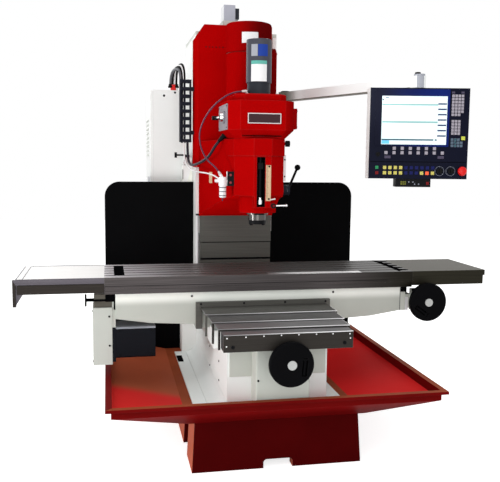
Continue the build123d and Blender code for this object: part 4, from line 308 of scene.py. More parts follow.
BLACK = black("black_paint", (8, 8, 9), 0.36, bump=0.02, specular=0.01)
MATT = black("matt_black_paint", (9, 9, 11), 0.85, bump=0.04, specular=0.0)
WHEEL_BLACK = black("wheel_plastic", (9, 9, 11), specular=0.02, edge=0.003, wear=0.04)
SATIN = black("black_plastic", (20, 20, 22), 0.42, slot="black_plastic", specular=0.05)
CHAIN = black("chain_plastic", (30, 33, 42), slot="black_plastic", specular=0.06)
BEZEL = black("screen_bezel", (11, 13, 32), 0.4, slot="black_plastic", drift=0.15, bump=0.03, specular=0.06,
              fade=(X, 0.6, 0.96, (14, 32, 104)))
NAVY = black("navy_paint", (18, 20, 25), slot="navy_paint", drift=0.08, bump=0.06, specular=0.05)
# Light grey on the top of the navy servo: painted light and painted reflection
NAVY_TOP = black("navy_top_paint", (160, 164, 172), 0.5, slot="navy_paint", drift=0.2)
RUBBER = black("rubber", (20, 20, 21), 0.7, slot="rubber", bump=0.1, specular=0.05)
CABLE = black("cable_sheath", (38, 35, 46), 0.4, slot="rubber", drift=0.08, specular=0.14)
HOSE_GREY = black("corrugated_hose", (96, 97, 102), 0.5, slot="rubber", bump=0.3, grain=120)

# Table top steel, bright at the left and dark at the right: a painted reflection of bright surroundings and
# dark parts above
STEEL = ground("ground_steel", (208, 204, 208), 0.36, metal=0.5, drift=0.16, bump=0.03, wear=0.4,
               fade=(X, -0.85, -0.2, (76, 74, 72)))
# Table front and side steel, darker towards the right: a painted reflection
STEEL_SIDE = ground("ground_steel_side", (68, 64, 64), 0.34, metal=0.75, drift=0.25, bump=0.03, wear=0.5,
                    fade=(X, 0.3, 0.85, (31, 29, 24)))
# Painted highlight: a pale strip along the table's front edge, turning white towards the right
EDGE_SHINE = ground("polished_edge", (120, 118, 118), 0.3, metal=0.2, drift=0.1, bump=0.01,
                    fade=(X, 0.02, 0.22, (250, 250, 250)))
# Wing tops, white at the left and dark at the right: a painted reflection
WING_TOP = ground("wing_top_steel", (244, 244, 242), 0.5, metal=0.2, fade=(X, -0.9, 0.9, (102, 100, 93)))
# Wing sides, darker towards the right: a painted reflection
WING_SIDE = ground("wing_side_steel", (86, 82, 88), 0.4, metal=0.6, drift=0.15,
                   fade=(X, -0.9, 0.9, (40, 38, 30)))
WING_LOWER = ground("wing_lower_steel", (44, 40, 37), 0.4, metal=0.5, drift=0.15)

SHEET = cover("sheet_steel", (126, 125, 126))
# Darker copy of the cover steel for the first section: painted shade
SHEET_MID = cover("sheet_steel_mid", (84, 83, 84))
# Painted highlights on the cover's edges, turning white towards the right
SHEET_EDGE = sheet("bright_sheet_edge", (140, 140, 142), 0.3, metal=0.2, drift=0.15, bump=0.01,
                   fade=(X, -0.32, 0.15, (250, 250, 252)))
# Dark sheet: the end plate's own dark steel, and painted shade on the fronts of the sections; its strong
# edge lightening is partly wear, partly painted highlight
SHEET_DARK = sheet("dark_sheet_steel", (47, 44, 41), 0.42, metal=0.4, drift=0.1, wear=0.9)
PLATE = sheet("column_plate_steel", (84, 83, 79), metal=0.6, drift=0.12)
SHEET_SIDE = plate("sheet_steel_side", (58, 57, 58), 0.42, metal=0.2, drift=0.1)
RANGE_GREY = plate("range_plate", (140, 134, 142), metal=0.2, drift=0.08, bump=0.03)
PLATE_DARK = plate("bare_name_plate", (62, 40, 44), 0.4, drift=0.06)
BEIGE = plate("scale_plate", (214, 184, 148), 0.42, drift=0.06)

NOSE = chrome("nose_steel", (84, 82, 80), 0.2, metal=0.95, drift=0.08)
CHROME = chrome("chrome", (220, 220, 222), 0.16, metal=1.0, drift=0.03)
SILVER = machined("silver_trim", (204, 198, 198), 0.34, metal=0.5)
MACHINED = machined("machined", (120, 120, 122), 0.36, metal=0.9, drift=0.1, stretch=ALONG_Z, grain=60,
                    bump=0.04)
SCREW_RED = machined("coppery_screw", (150, 62, 66), 0.4, metal=0.3, drift=0.06)
PALE = machined("pale_paint", (232, 233, 236), drift=0.04, bump=0.04)
HOSE_DARK = hose("air_hose", (84, 36, 62), 0.28, drift=0.1)
HOSE_PALE = hose("supply_hose", (238, 238, 238), 0.3, drift=0.08)

RED_CAP = plastic("red_plastic", (222, 14, 10), 0.3, slot="red_plastic", specular=0.3)
DARK_RED_CAP = plastic("dark_red_plastic", (118, 22, 26), slot="red_plastic")
YELLOW_CAP = plastic("yellow_plastic", (206, 196, 104))
BRIGHT_CAP = plastic("bright_yellow_plastic", (206, 212, 84))
GREEN_CAP = plastic("green_plastic", (48, 140, 90))
OLIVE_CAP = plastic("olive_display", (112, 114, 46))
BLUE_CAP = plastic("blue_plastic", (20, 26, 84))
LIT_CAP = plastic("lit_plastic", (244, 96, 60), 0.4, glow=0.35)
CAP_GREY = plastic("wheel_cap", (190, 192, 190), drift=0.04, bump=0.03)
KEY_GREY = key("key_plastic", (166, 160, 170))
KEY_DIM = key("dim_key_plastic", (78, 72, 92))
KEY_BLUE = key("blue_key_plastic", (92, 108, 124))
KEY_TEAL = key("teal_key_plastic", (70, 132, 142))

TICK = paper("tick_ink", (140, 144, 156), 0.5, drift=0.03)
PAPER = paper("blank_plate", (244, 244, 245), 0.5, drift=0.04)
TEAL_PAPER = paper("blank_teal_plate", (104, 184, 172), 0.5)
BLUE_PAPER = paper("blank_blue_plate", (36, 66, 156))
OIL_TANK = paper("reservoir", (246, 247, 236), 0.2, drift=0.04, bump=0.01, specular=0.4)
SCREEN = screen("screen", (214, 228, 230), drift=0.02, glow=0.5)
SCREEN_TEAL = screen("screen_teal", (130, 178, 176), drift=0.12, glow=0.3)
SCREEN_BLUE = screen("screen_blue", (24, 46, 100), glow=0.08)
SCREEN_DARK = screen("screen_dark", (46, 88, 104), glow=0.2)
SCREEN_SKY = screen("screen_sky", (104, 192, 232), glow=0.4)

# Finish of each record slot, and of the nodes that differ from their slot
SLOT_FINISH = {SLOT_OF[material.name]: material for material in (
    RED, WHITE, BLACK, NAVY, GREY, STEEL, SHEET, CHROME, MACHINED, SATIN, KEY_GREY, RED_CAP, RUBBER, SCREEN)}
SLOT_FINISH["hose"] = CABLE
OWN_FINISH = (
    (RED_BASE, "base_pedestal"), (RED_PAN, "chip_pan"), (RED_CAST, "head_casting"),
    (RED_HOUSING, "belt_housing"), (RED_MOTOR, "spindle_motor"), (WHITE, "x_wheel_bracket"),
    (WHITE_BED, "bed_casting"), (WHITE_SADDLE, "saddle"), (WHITE_SHADE, "x_belt_cover"),
    (WHITE_CLEAN, "electrical_cabinet", "cabinet_door", "column", "lubricator"), (ARM_WHITE, "control_arm"),
    (FACE_NAVY, "panel_housing"), (PALE, "z_servo_motor"), (PAPER, "air_regulator"), (OLIVE, "arm_bracket"),
    (BLOCK_GREY, "x_drive_bracket"), (RANGE_GREY, "head_plates"), (SATIN, "depth_stop"),
    (CHAIN, "cable_chain"), (CHROME, "range_lever"), (NOSE, "quill"),
    (WHEEL_BLACK, "y_handwheel", "x_handwheel", "y_wheel_handle", "x_wheel_handle", "feed_lever"),
    (PLATE, "column_cover_upper", "column_cover_middle", "column_cover_lower", "y_cover_flange"),
    (SHEET_MID, "y_cover_section_1"), (SHEET_DARK, "y_cover_end_plate"),
    (WING_TOP, "table_wing_left", "table_wing_right"),
)
NODE_FINISH = {node: material for material, *nodes in OWN_FINISH for node in nodes}


def dress_nodes():
    """Give every CAD node the finish of its slot, or its own."""
    for part in frame["record"]["subparts"]:
        node = part["node"]
        mesh = NODES[node].data
        mesh.materials.clear()
        mesh.materials.append(NODE_FINISH.get(node, SLOT_FINISH[part["material_slot"]]))


def paint(node, *choices):
    """Further finishes on a node, each with a test of a face's middle, in millimetres, and normal."""
    mesh = NODES[node].data
    for material, chosen in choices:
        mesh.materials.append(material)
        number = len(mesh.materials) - 1
        for face in mesh.polygons:
            if chosen(face.center / MM, face.normal):
                face.material_index = number


def box(low, high):
    """Box between two corners."""
    def build(bm):
        made = bmesh.ops.create_cube(bm, size=1)["verts"]
        size = [b - a for a, b in zip(low, high)]
        middle = [(a + b) / 2 for a, b in zip(low, high)]
        bmesh.ops.scale(bm, vec=size, verts=made)
        bmesh.ops.translate(bm, vec=middle, verts=made)
    return build


def ring_of(bm, centre, side, other, radius, count):
    """Points round a centre, in the plane of two directions."""
    ring = []
    for step in range(count):
        angle = 2 * math.pi * step / count
        outward = side * math.cos(angle) + other * math.sin(angle)
        ring.append(bm.verts.new(centre + outward * radius))
    return ring


def join_rings(bm, rings, sides):
    """Faces between rings that follow each other; a ring can also be a single point."""
    for low, high in zip(rings, rings[1:]):
        for step in range(sides):
            corners = [low[step % len(low)], low[(step + 1) % len(low)],
                       high[(step + 1) % len(high)], high[step % len(high)]]
            unique = list(dict.fromkeys(corners))
            if len(unique) > 2:
                bm.faces.new(unique)


def lathe(base, axis, profile, sides=SIDES):
    """Turned shape: (radius, height) pairs along an axis from a base point."""
    def build(bm):
        side, other, along = Vector(axis).to_track_quat(Z, Y).to_matrix().col
        rings = []
        for radius, height in profile:
            centre = Vector(base) + along * height
            rings.append(ring_of(bm, centre, side, other, radius, sides if radius else 1))
        join_rings(bm, rings, sides)
    return build


def collar(base, axis, inner, outer, height, sides=SIDES):
    """Flat ring round an axis."""
    return lathe(base, axis, [(inner, 0), (outer, 0), (outer, height), (inner, height)], sides)


def fitting(base, axis, nut, neck, end):
    """Hose fitting whose nut, neck and mouth end at these heights."""
    return lathe(base, axis, [(4.8, 0), (9.5, 0), (9.5, nut), (7.5, nut + 2), (7.5, neck), (4.8, end)])


def rod(start, end, radius, round_off=0.0):
    """Round bar between two points, with rounded or plain ends."""
    reach = Vector(end) - Vector(start)
    length = reach.length
    profile = [(0, 0), (radius - round_off, 0), (radius, round_off),
               (radius, length - round_off), (radius - round_off, length), (0, length)]
    return lathe(start, reach, profile)


def ball(centre, radius):
    """Sphere."""
    profile = [(0, 0)]
    for step in range(1, ARC_STEPS):
        angle = math.pi * step / ARC_STEPS
        profile.append((radius * math.sin(angle), radius * (1 - math.cos(angle))))
    profile.append((0, 2 * radius))
    return lathe(Vector(centre) - Vector((0, 0, radius)), UP, profile)


def cap_screw(place, axis, radius, height):
    """Socket head screw standing on a face."""
    rim = 0.18 * radius
    profile = [(radius, 0), (radius, height - rim), (radius - rim, height), (0.52 * radius, height),
               (0.48 * radius, 0.45 * height), (0, 0.45 * height)]
    return lathe(place, axis, profile, 20)


def rivet(place, axis, radius, height):
    """Low domed rivet head."""
    profile = [(radius, 0), (0.9 * radius, 0.5 * height), (0.6 * radius, 0.85 * height), (0, height)]
    return lathe(place, axis, profile, 16)


def slab(outline, low, high, up=Z):
    """Flat outline of two coordinates, pulled between two limits along the third axis."""
    def place(pair, level):
        a, b = pair
        return {Z: (a, b, level), Y: (a, level, b), X: (level, a, b)}[up]

    def build(bm):
        rings = [[bm.verts.new(place(pair, level)) for pair in outline] for level in (low, high)]
        bm.faces.new(rings[0])
        bm.faces.new(rings[1])
        join_rings(bm, rings, len(outline))
    return build


def border(outer, inner, low, high, up=Z):
    """Flat rectangular frame between two rectangles, each (left, bottom, right, top)."""
    def corners(edges):
        left, bottom, right, top = edges
        return [(left, bottom), (right, bottom), (right, top), (left, top)]

    outside = corners(outer)
    inside = corners(inner)

    def build(bm):
        for step in range(4):
            follow = (step + 1) % 4
            slab([outside[step], outside[follow], inside[follow], inside[step]], low, high, up)(bm)
    return build


def wrapped(centre, radius, angles, levels, thick=1.2):
    """Thin plate bent round an upright cylinder, between angles in degrees from the front."""
    outline = []
    there = range(ARC_STEPS + 1)
    for reach, order in ((radius + thick, there), (radius - 0.6, reversed(there))):
        for step in order:
            angle = math.radians(angles[0] + (angles[1] - angles[0]) * step / ARC_STEPS)
            outline.append((centre[0] + reach * math.sin(angle), centre[1] - reach * math.cos(angle)))
    return slab(outline, *levels)


def spoke(centre, angle, near, far, width, low, high):
    """Short radial bar on an upright face: centre is (x, z), low and high are along Y."""
    way = Vector((math.sin(math.radians(angle)), math.cos(math.radians(angle))))
    across = Vector((way.y, -way.x)) * width / 2
    middle = Vector(centre)
    corners = [middle + way * near - across, middle + way * near + across,
               middle + way * far + across, middle + way * far - across]
    return slab(corners, low, high, Y)


def piece(body, name, material, *shapes, bevel=0.0, turn=None):
    """One mesh of several shapes, with rounded edges, riding on a body if one is named."""
    bm = bmesh.new()
    for shape in shapes:
        shape(bm)
    if turn is not None:
        bmesh.ops.transform(bm, matrix=turn, verts=bm.verts)
    bmesh.ops.scale(bm, vec=(MM, MM, MM), verts=bm.verts)
    bmesh.ops.recalc_face_normals(bm, faces=bm.faces)
    mesh = bpy.data.meshes.new(name)
    bm.to_mesh(mesh)
    bm.free()
    mesh.materials.append(material)
    mesh.polygons.foreach_set("use_smooth", [True] * len(mesh.polygons))
    mesh.set_sharp_from_angle(angle=math.radians(SHARP_ANGLE))
    obj = new_object(name, mesh)
    if bevel:
        rounding = obj.modifiers.new("rounding", "BEVEL")
        rounding.width = bevel * MM
        rounding.segments = 3
        rounding.angle_limit = math.radians(BEVEL_ANGLE)
        rounding.harden_normals = True
    if body:
        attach(obj, body)
    return obj


def block(body, name, material, low, high, bevel=0.0):
    """Piece of one box."""
    piece(body, name, material, box(low, high), bevel=bevel)


def screws(body, name, axis, radius, height, *places, material=SATIN):
    """Socket head screws of one size along one axis."""
    piece(body, name, material, *[cap_screw(place, axis, radius, height) for place in places])


def makers(body):
    """Functions that add a piece, a one-box piece and screws to a body."""
    return partial(piece, body), partial(block, body), partial(screws, body)


def curve_along(name, route, radius):
    """NURBS curve whose control points are a route in millimetres."""
    curve = bpy.data.curves.new(name, "CURVE")
    curve.dimensions = "3D"
    curve.bevel_depth = radius * MM
    curve.bevel_resolution = 6
    curve.use_fill_caps = True
    spline = curve.splines.new("NURBS")
    spline.points.add(len(route) - 1)
    for point, place in zip(spline.points, route):
        point.co = (*[value * MM for value in place], 1)
    spline.order_u = 3
    spline.use_endpoint_u = True
    spline.resolution_u = 10
    return new_object(name, curve)


# Routes of the cable and hoses, as in the CAD source
INLET_WAY = Vector((-0.35, 0.61, 0.71)).normalized()
INLET_FOOT = Vector((*REGULATOR, 1436))
INLET_END = INLET_FOOT + INLET_WAY * 30
INLET_APPROACH = INLET_END + INLET_WAY * 54
GLAND = Vector((-161, -190, 1679))
GLAND_WAY = Vector((-1, 0, -1)).normalized()
CABLE_ROUTE = [
    (-311, 401, 1655), (-311, 397, 1565), (-308, 318, 1510), (-299, 195, 1502), (-282, 75, 1514),
    (-262, -42, 1532), (-239, -146, 1564), GLAND + GLAND_WAY * 68, GLAND,
]
DRAWBAR_ROUTE = [
    (-74, -388, 1913), (-118, -388, 1913), (-168, -368, 1898), (-220, -336, 1862), (-264, -294, 1812),
    (-296, -252, 1752), (-312, -222, 1690), (-307, -214, 1626), (-288, -234, 1566), (-262, -282, 1524),
    INLET_APPROACH, INLET_END,
]
SUPPLY_ROUTE = [
    (-338, 388, 1655), (-337, 386, 1588), (-332, 350, 1524), (-317, 262, 1482), (-294, 142, 1466),
    (-272, 22, 1462), (-252, -98, 1460), (-231, -208, 1452), (-212, -280, 1436), (-202, -326, 1420),
    (-202, -358, 1420),
]


def add_cords():
    """Motor cable and two air hoses on the head."""
    for name, route, radius, material, node, stiffness, lay in (
        ("motor_cable_sheath", CABLE_ROUTE, CABLE_R, CABLE, "motor_cable", "stiff", "hanging"),
        ("drawbar_hose", DRAWBAR_ROUTE, HOSE_R, HOSE_DARK, "air_hoses", "medium", "hanging"),
        ("supply_hose_line", SUPPLY_ROUTE, HOSE_R, HOSE_PALE, "air_hoses", "medium", "hanging"),
    ):
        obj = curve_along(name, route, radius)
        obj.data.materials.append(material)
        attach(obj, "head")
        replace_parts(obj, node)
        Vector(route[0]) * MM


# Hose loops from the top of the cable chain to the cabinet: chain x, cabinet x, crest height, radius, finish
LOOPS = (
    (-346, -388, 2142, 7, RUBBER), (-330, -362, 2160, 7, RUBBER),
    (-338, -376, 2152, 5, HOSE_PALE), (-356, -401, 2128, 9, HOSE_GREY),
)
LOOP_CHAIN = (401, 2050)
LOOP_SOCKET = (622, 2040)


def line_of(route):
    """Points in millimetres on the smooth line of a route."""
    guide = curve_along("guide", route, 0)
    mesh = bpy.data.meshes.new_from_object(guide)
    points = [vertex.co / MM for vertex in mesh.vertices]
    curve = guide.data
    bpy.data.objects.remove(guide)
    bpy.data.curves.remove(curve)
    bpy.data.meshes.remove(mesh)
    return points


def tube(points, radius, sides=18):
    """Round tube along points, its rings turned no more than the line turns."""
    def build(bm):
        rings = []
        side = Vector(RIGHT)
        for step, point in enumerate(points):
            along = (points[min(step + 1, len(points) - 1)] - points[max(step - 1, 0)]).normalized()
            side = (side - along * side.dot(along)).normalized()
            rings.append(ring_of(bm, point, side, along.cross(side), radius, sides))
        join_rings(bm, rings, sides)
        bm.faces.new(rings[0])
        bm.faces.new(rings[-1])
    return build


def add_loops():
    """Hose loops behind the head, from the top of the cable chain to the cabinet, where they stay."""
    for number, (chain_x, socket_x, crest, radius, material) in enumerate(LOOPS, 1):
        start = Vector((chain_x, *LOOP_CHAIN))
        end = Vector((socket_x, *LOOP_SOCKET))
        route = [start, (chain_x, LOOP_CHAIN[0], crest), (socket_x, LOOP_SOCKET[0], crest), end]
        loop = piece(None, f"chain_loop_{number}", material, tube(line_of(route), radius))
        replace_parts(loop, "chain_hoses")
        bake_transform(loop)


def paint_machine():
    """Further finishes on the base, the pan, the drives, the table and the column."""
    for node, centre in (("y_handwheel", Y_WHEEL), ("x_handwheel", X_WHEEL)):
        paint(node, (CAP_GREY, lambda c, n, o=centre: c.y < o.y - 0.5 and (c - o).length < WHEEL_CAP_R + 6))
    # left faces of the base in orange brown, as painted light
    paint("base_pedestal", (RED_SIDE, lambda c, n: n.x < -0.6))
    paint("chip_pan",
          # left slopes of the pan: painted light and painted reflection
          (RED_DUSTY, lambda c, n: c.x < -300 and 0.2 < n.z < 0.995 and c.z < 372),
          (RED_UNDER, lambda c, n: n.z < -0.05),
          (RED_LIP, lambda c, n: c.z > 335 and abs(n.z) < 0.2),
          (RED_RIM, lambda c, n: c.z > 380 and n.z > 0.5),
          (RED_RIM, lambda c, n: n.z > 0.995 and c.z < 300),
          (RED_LIP, lambda c, n: c.x < -800 and c.z > 335))
    # front, sides and lower faces of the table carry the painted reflection
    paint("table", (STEEL_SIDE, lambda c, n: abs(n.z) < 0.5 or c.z < 900))
    for node in ("table_wing_left", "table_wing_right"):
        paint(node, (WING_SIDE, lambda c, n: abs(n.z) < 0.5))
    paint("table_wing_left", (WING_LOWER, lambda c, n: c.z < 896 and (c.x < -1280 or n.z < -0.5)))
    for node in ("y_cover_section_1", "y_cover_section_2"):
        # fronts of the sections in the dark sheet, as painted shade under their lips
        paint(node, (SHEET_SIDE, lambda c, n: abs(n.x) > 0.7), (SHEET_DARK, lambda c, n: n.y < -0.7))
    paint("y_cover_end_plate", (SHEET, lambda c, n: n.z > 0.7))
    # top of the servo in light grey, as painted light and painted reflection
    paint("x_servo_motor", (NAVY_TOP, lambda c, n: n.z > 0.5))
    paint("x_drive_bracket",
          (WHITE, lambda c, n: c.x > -811.5 and c.z < 830),
          (MATT, lambda c, n: c.x < -905.5))
    paint("x_wheel_bracket", (BLACK, lambda c, n: c.x > 862))
    paint("z_servo_motor", (GREY_MID, lambda c, n: n.y < -0.5), (GREY_DARK, lambda c, n: c.x > 41))


def paint_head():
    """Further finishes on the head and what it carries, and on the lubricator."""
    # motor cap in the red that carries painted shade
    paint("spindle_motor", (RED_DEEP, lambda c, n: c.z > 2165))
    # Black on the walls of the quill slot: painted shade in the deep slot
    paint("head_casting",
          (SATIN, lambda c, n: abs(c.x - STOP_SCREW[0]) < 24 and -499.5 < c.y < -414 and 1284 < c.z < 1557),
          # underside of the head in brighter red, as painted light
          (RED_SLOPE, lambda c, n: n.z < -0.5 and c.z < 1340))
    # front of the quill seen through the slot in black, as painted shade
    paint("quill", (SATIN, lambda c, n: c.y < -420 and c.z > 1284))
    paint("air_regulator", (SATIN, lambda c, n: c.x > -177.5))
    paint("depth_stop", (CHROME, lambda c, n: 1298 < c.z < 1324 and 8.5 < math.dist(c.xy, STOP_SCREW) < 30))
    paint("lock_lever",
          (SATIN, lambda c, n: math.dist(c.xz, LOCK_HUB) < 15),
          (DARK_RED_CAP, lambda c, n: c.y < -522.9 and math.dist(c.xz, LOCK_HUB) < 12))
    paint("head_plates",
          (BEIGE, lambda c, n: c.y < PLATE_FACE and c.z < 1600),
          (PLATE_DARK, lambda c, n: c.y < PLATE_FACE and c.z > 1700 and c.x > -150))
    paint("range_lever", (SATIN, lambda c, n: c.y > -285))
    paint("feed_lever", (CHAIN, lambda c, n: math.dist(c.yz, FEED_HUB) < 32))
    paint("spindle", (SATIN, lambda c, n: c.z < 1203))
    paint("drawbar_unit", (GREY_DARK, lambda c, n: c.z < 1962.5))
    paint("lubricator", (OIL_TANK, lambda c, n: c.z < 1400))


def paint_panel():
    """Further finishes on the control panel: sides, lower box and post."""
    to_panel = PANEL.inverted()
    paint("panel_housing",
          (WHITE_CLEAN, lambda c, n: (to_panel @ c).y > PANEL_FACE + 0.5 and PANEL_LOW < c.z < PANEL_TOP),
          (SATIN, lambda c, n: c.z < PANEL_LOW + 0.5),
          (POST_GREY, lambda c, n: c.z > PANEL_TOP))


def head_details():
    """Trim of the head casting, the quill and the belt housing."""
    add, bar, fix = makers("head")
    add("name_plate_frame", SILVER,
        border((-86, 1735, 98, 1791), (-81, 1740, 93, 1786), -505, -501, Y), bevel=0.8)
    ticks = []
    for step in range(31):
        level = 1330 + 6 * step
        ticks.append(box((20, -502.5, level), (34 if step % 5 == 0 else 28, -501.8, level + 1)))
    add("depth_scale_ticks", SATIN, *ticks)
    fix("depth_scale_screws", FORWARD, 5, 3, (35, -502, 1506), (35, -502, 1329))
    pin_end = (66, -508, 1329)
    add("depth_scale_pin", SILVER, rod((41, -498, 1324), pin_end, 4, 1), ball(pin_end, 5.5))
    add("stop_nut_neck", CHROME,
        lathe((*STOP_SCREW, 1323), UP, [(8.2, 0), (13, 0), (13, 12), (11, 14), (8.2, 14)]))
    bar("quill_rail", SILVER, (163, -303, 1420), (178, -297, 1570), 1)
    add("quill_rail_studs", MACHINED, *[rod((148, -300, z), (164, -300, z), 5) for z in (1440, 1550)])
    fix("quill_rail_screws", FORWARD, 4.5, 3, (171, -303, 1543), (171, -303, 1447))
    flank_turn = Matrix.Translation((-204, 60, 1430)) @ Matrix.Rotation(math.radians(8.56), 4, Z)
    add("flank_plate", BEIGE, box((-3, -30, -34), (2, 30, 34)), bevel=0.6, turn=flank_turn)
    ring = [(18.5, 0), (20, 1), (20, 4), (18.5, 5)]
    add("regulator_rings", GREY, *[lathe((*REGULATOR, z), UP, ring) for z in (1340, 1362, 1384)])
    add("regulator_knob", PAPER, rod((-222, -390, 1424), (-246, -390, 1424), 9, 2))
    fix("regulator_screws", FORWARD, 7, 4, (-160, -400, 1456), (-160, -400, 1414), material=SCREW_RED)
    add("regulator_drain", HOSE_DARK, rod((*REGULATOR, 1332), (-204, -392, 1312), 3.5, 1))
    add("cable_gland", SATIN, lathe(GLAND - GLAND_WAY * 4, GLAND_WAY, [
        (8.3, 0), (17, 0), (17, 12), (14, 15), (14, 24), (10, 44), (8.4, 56)]))
    add("drawbar_fitting", SILVER, fitting((-70, -388, 1913), LEFT, 12, 22, 30))
    add("inlet_fitting", SILVER, fitting(INLET_END - INLET_WAY * 4, INLET_WAY, 10, 20, 28))
    add("supply_fitting", SILVER, fitting((-202, -366, 1420), BACK, 10, 18, 24))
    piece("feed_lever", "feed_hub_rings", CHROME, collar((193, *FEED_HUB), RIGHT, 6, 17, 3),
          collar((176, *FEED_HUB), RIGHT, 24, 30, 4))
    piece("lock_lever", "lock_lever_ring", SATIN, lathe((LOCK_HUB[0], -523, LOCK_HUB[1]), FORWARD, [
        (7, 0), (13.6, 0), (13.6, 1), (12.6, 2), (7, 2)]))


def motor_details():
    """Trim of the motors, the drawbar and the casing on the head."""
    add, bar, fix = makers("head")
    seam = [rivet((-204 + 21.5 * step, 300, 2249), FORWARD, 4, 2) for step in range(20)]
    add("casing_rivets", SATIN, *seam)
    add("motor_seam", RED_LIP, collar((0, MOTOR_Y, 2157), UP, 130.5, 131.4, 5, 64))
    add("motor_plate", PAPER, wrapped((0, MOTOR_Y), 135, (-27.6, 12.7), (2206, 2267)), bevel=0.4)
    rings = [lathe((0, MOTOR_Y, 2330), UP, [(radius - 5, 0), (radius - 5, 3), (radius, 3), (radius, 0)])
             for radius in (34, 58, 82, 106)]
    add("motor_fan_grille", SATIN, *rings)
    bar("terminal_cover", RED, (158, -106, 1900), (162, -18, 2172), 1.5)
    fix("terminal_screws", RIGHT, 4.5, 3, *product((162,), (-98, -26), (1910, 2162)))
    upper, lower, band = (2101, 2164), (1966, 2077), (2058, 2077)
    for name, material, radius, angles, levels in (
        ("drawbar_upper_label", BLUE_PAPER, DRAWBAR_R, (-16, 30), upper),
        ("drawbar_upper_panel", POST_GREY, DRAWBAR_R, (-48, -18), upper),
        ("drawbar_lower_label", PAPER, DRAWBAR_R, (-48, 26), lower),
        ("drawbar_label_band", TEAL_PAPER, DRAWBAR_R + 0.6, (-48, 26), band),
    ):
        add(name, material, wrapped((0, SPINDLE_Y), radius, angles, levels, 0.8))
    off = 50 * math.sqrt(0.5)
    around = product((-off, off), (SPINDLE_Y - off, SPINDLE_Y + off), (2195,))
    fix("drawbar_screws", UP, 6, 4, *around, material=SILVER)
    lid = [(side * x, y, 1897) for x, y in ((82, -452), (124, -350), (124, -278)) for side in (-1, 1)]
    fix("lid_screws", UP, 6, 5, *lid, material=SILVER)
    fix("side_cover_screws", RIGHT, 5, 3, *product((206,), (-422, -243), (1724, 1811)))
    fix("range_plate_screws", LEFT, 4, 2.5, *product((-189,), (-424, -164), (1715, 1831)))


def table_details():
    """Trim of the table and its wings."""
    add, bar, _ = makers("table")
    bar("table_blank_plate", MATT, (-799, -532, 927.6), (-745, -183, 929.4), 0.4)
    edge = [(774, -576), (774, -150)]
    for step in (2, 1, 0, -1, -2):
        y = TABLE_Y + SLOT_PITCH * step
        edge += [(806, y + 20), (842, y + 14), (842, y - 14), (806, y - 20)]
    add("slot_end_guard", MATT, slab(edge, 927.6, 929))
    # painted highlight along the table's front edge
    bar("table_edge", EDGE_SHINE, (20, -592.6, 926), (548, -537, 928.7), 0.8)
    bar("table_front_groove", MATT, (-849, -593.8, 881), (700, -592.4, 883))
    bar("wing_left_apron", WING_LOWER, (-1284, -594.6, 849), (-851, -592, 896), 0.5)
    add("wing_left_outline", GREY, box((-1290, -590, 926), (-1285, -140, 928.8)),
        box((-1258, -590, 926), (-1254, -140, 928.6)), box((-1254, -142, 926), (-852, -137, 930)),
        bevel=0.4)


def saddle_details():
    """Trim of the saddle and its drives."""
    add, bar, fix = makers("saddle")
    fix("saddle_screws", FORWARD, 6, 3, (-392, -560, 814), (395, -560, 816))
    bolts = [(x, -580, z) for x, z in ((-346, 773), (-112, 772), (116, 771), (346, 770))]
    fix("flange_bolts", FORWARD, 6, 4, *bolts)
    fix("belt_cover_screws", FORWARD, 5.5, 3, (-827, DRIVE_FACE, 712), (-826, DRIVE_FACE, 555))
    fix("belt_cover_side_screws", LEFT, 5.5, 3, *product((-912,), (-522, -323), (470, 741)))
    add("drive_recess", MATT, box((-846, -551, 793), (-795, -534, 835)),
        box((-803, -551, 750), (-795, -538, 794)), bevel=0.5)
    bar("servo_adapter", NAVY, (-812, -541.6, 466), (-793.5, -520, 651), 0.8)
    add("limit_rod", MATT, rod((-945, -551, 802), (-845, -551, 802), 5.5),
        box((-951, -555, 772), (-942, -545, 836)), bevel=0.8)
    bar("x_screw_guard", MATT, (794.5, -548, 774), (836, -420, 835), 1)
    add("x_end_seams", GREY_DARK, box((790, -561, 702), (793, -559, 832)),
        box((818, -557, 704), (820.5, -555.4, 773)), bevel=0.3)
    bar("x_end_plate", PALE, (799, -556, 700), (843, -547, 775), 1)


def cover_details():
    """Painted highlights on the edges of the front way cover, its fasteners, and fasteners of the X drive.
    """
    for name, body, half, front, top in (
        ("flange", "saddle", 349, -780, 758), ("section_1", "cover_section_1", 337, -935, 752),
        ("section_2", "cover_section_2", 325, -1055, 746), ("end_plate", "machine", 313, END_FACE, 737),
    ):
        strips = [box((-half, front - 0.6, top - 3), (half, front + 4, top + 0.6))]
        if body != "machine":
            for x in (0.8 - half, half - 0.8):
                strips.append(box((x - 1.6, front + 4, top - 2), (x + 1.6, front + 118, top + 0.1)))
        # edge strips carry painted highlights
        piece(body, f"{name}_edge", SHEET_EDGE, *strips, bevel=0.6)
    skirts = []
    for side in (-1, 1):
        skirts.append(box((side * 311 - 2, -1138, 658), (side * 311 + 2, -1062, 735)))
        for y in (-1124, -1106, -1088, -1070):
            skirts.append(box((side * 313 - 0.8, y, 658), (side * 313 + 0.8, y + 7, 735)))
    piece("machine", "end_plate_skirts", SHEET_SIDE, *skirts, bevel=0.5)
    screws("saddle", "servo_screws", FORWARD, 6, 3, *product((-776, -603), (DRIVE_FACE,), (503, 633)))
    plug = [(16, 0), (16, 14), (13, 16), (13, 34), (9, 38), (0, 38)]
    piece("saddle", "servo_connectors", SATIN, *[lathe((x, -371, 600), BACK, plug) for x in (-740, -680)])
    spots = ((-297, 722), (-208, 725), (-123, 727), (-39, 728), (45, 728), (131, 727), (212, 726),
             (296, 723), (-299, 683), (299, 702))
    piece("machine", "end_plate_rivets", PAPER,
          *[rivet((x, END_FACE, z), FORWARD, 3.6, 2) for x, z in spots])
    screws("machine", "end_plate_bolts", FORWARD, 9, 5, (-269, END_FACE, 679), (271, END_FACE, 681))


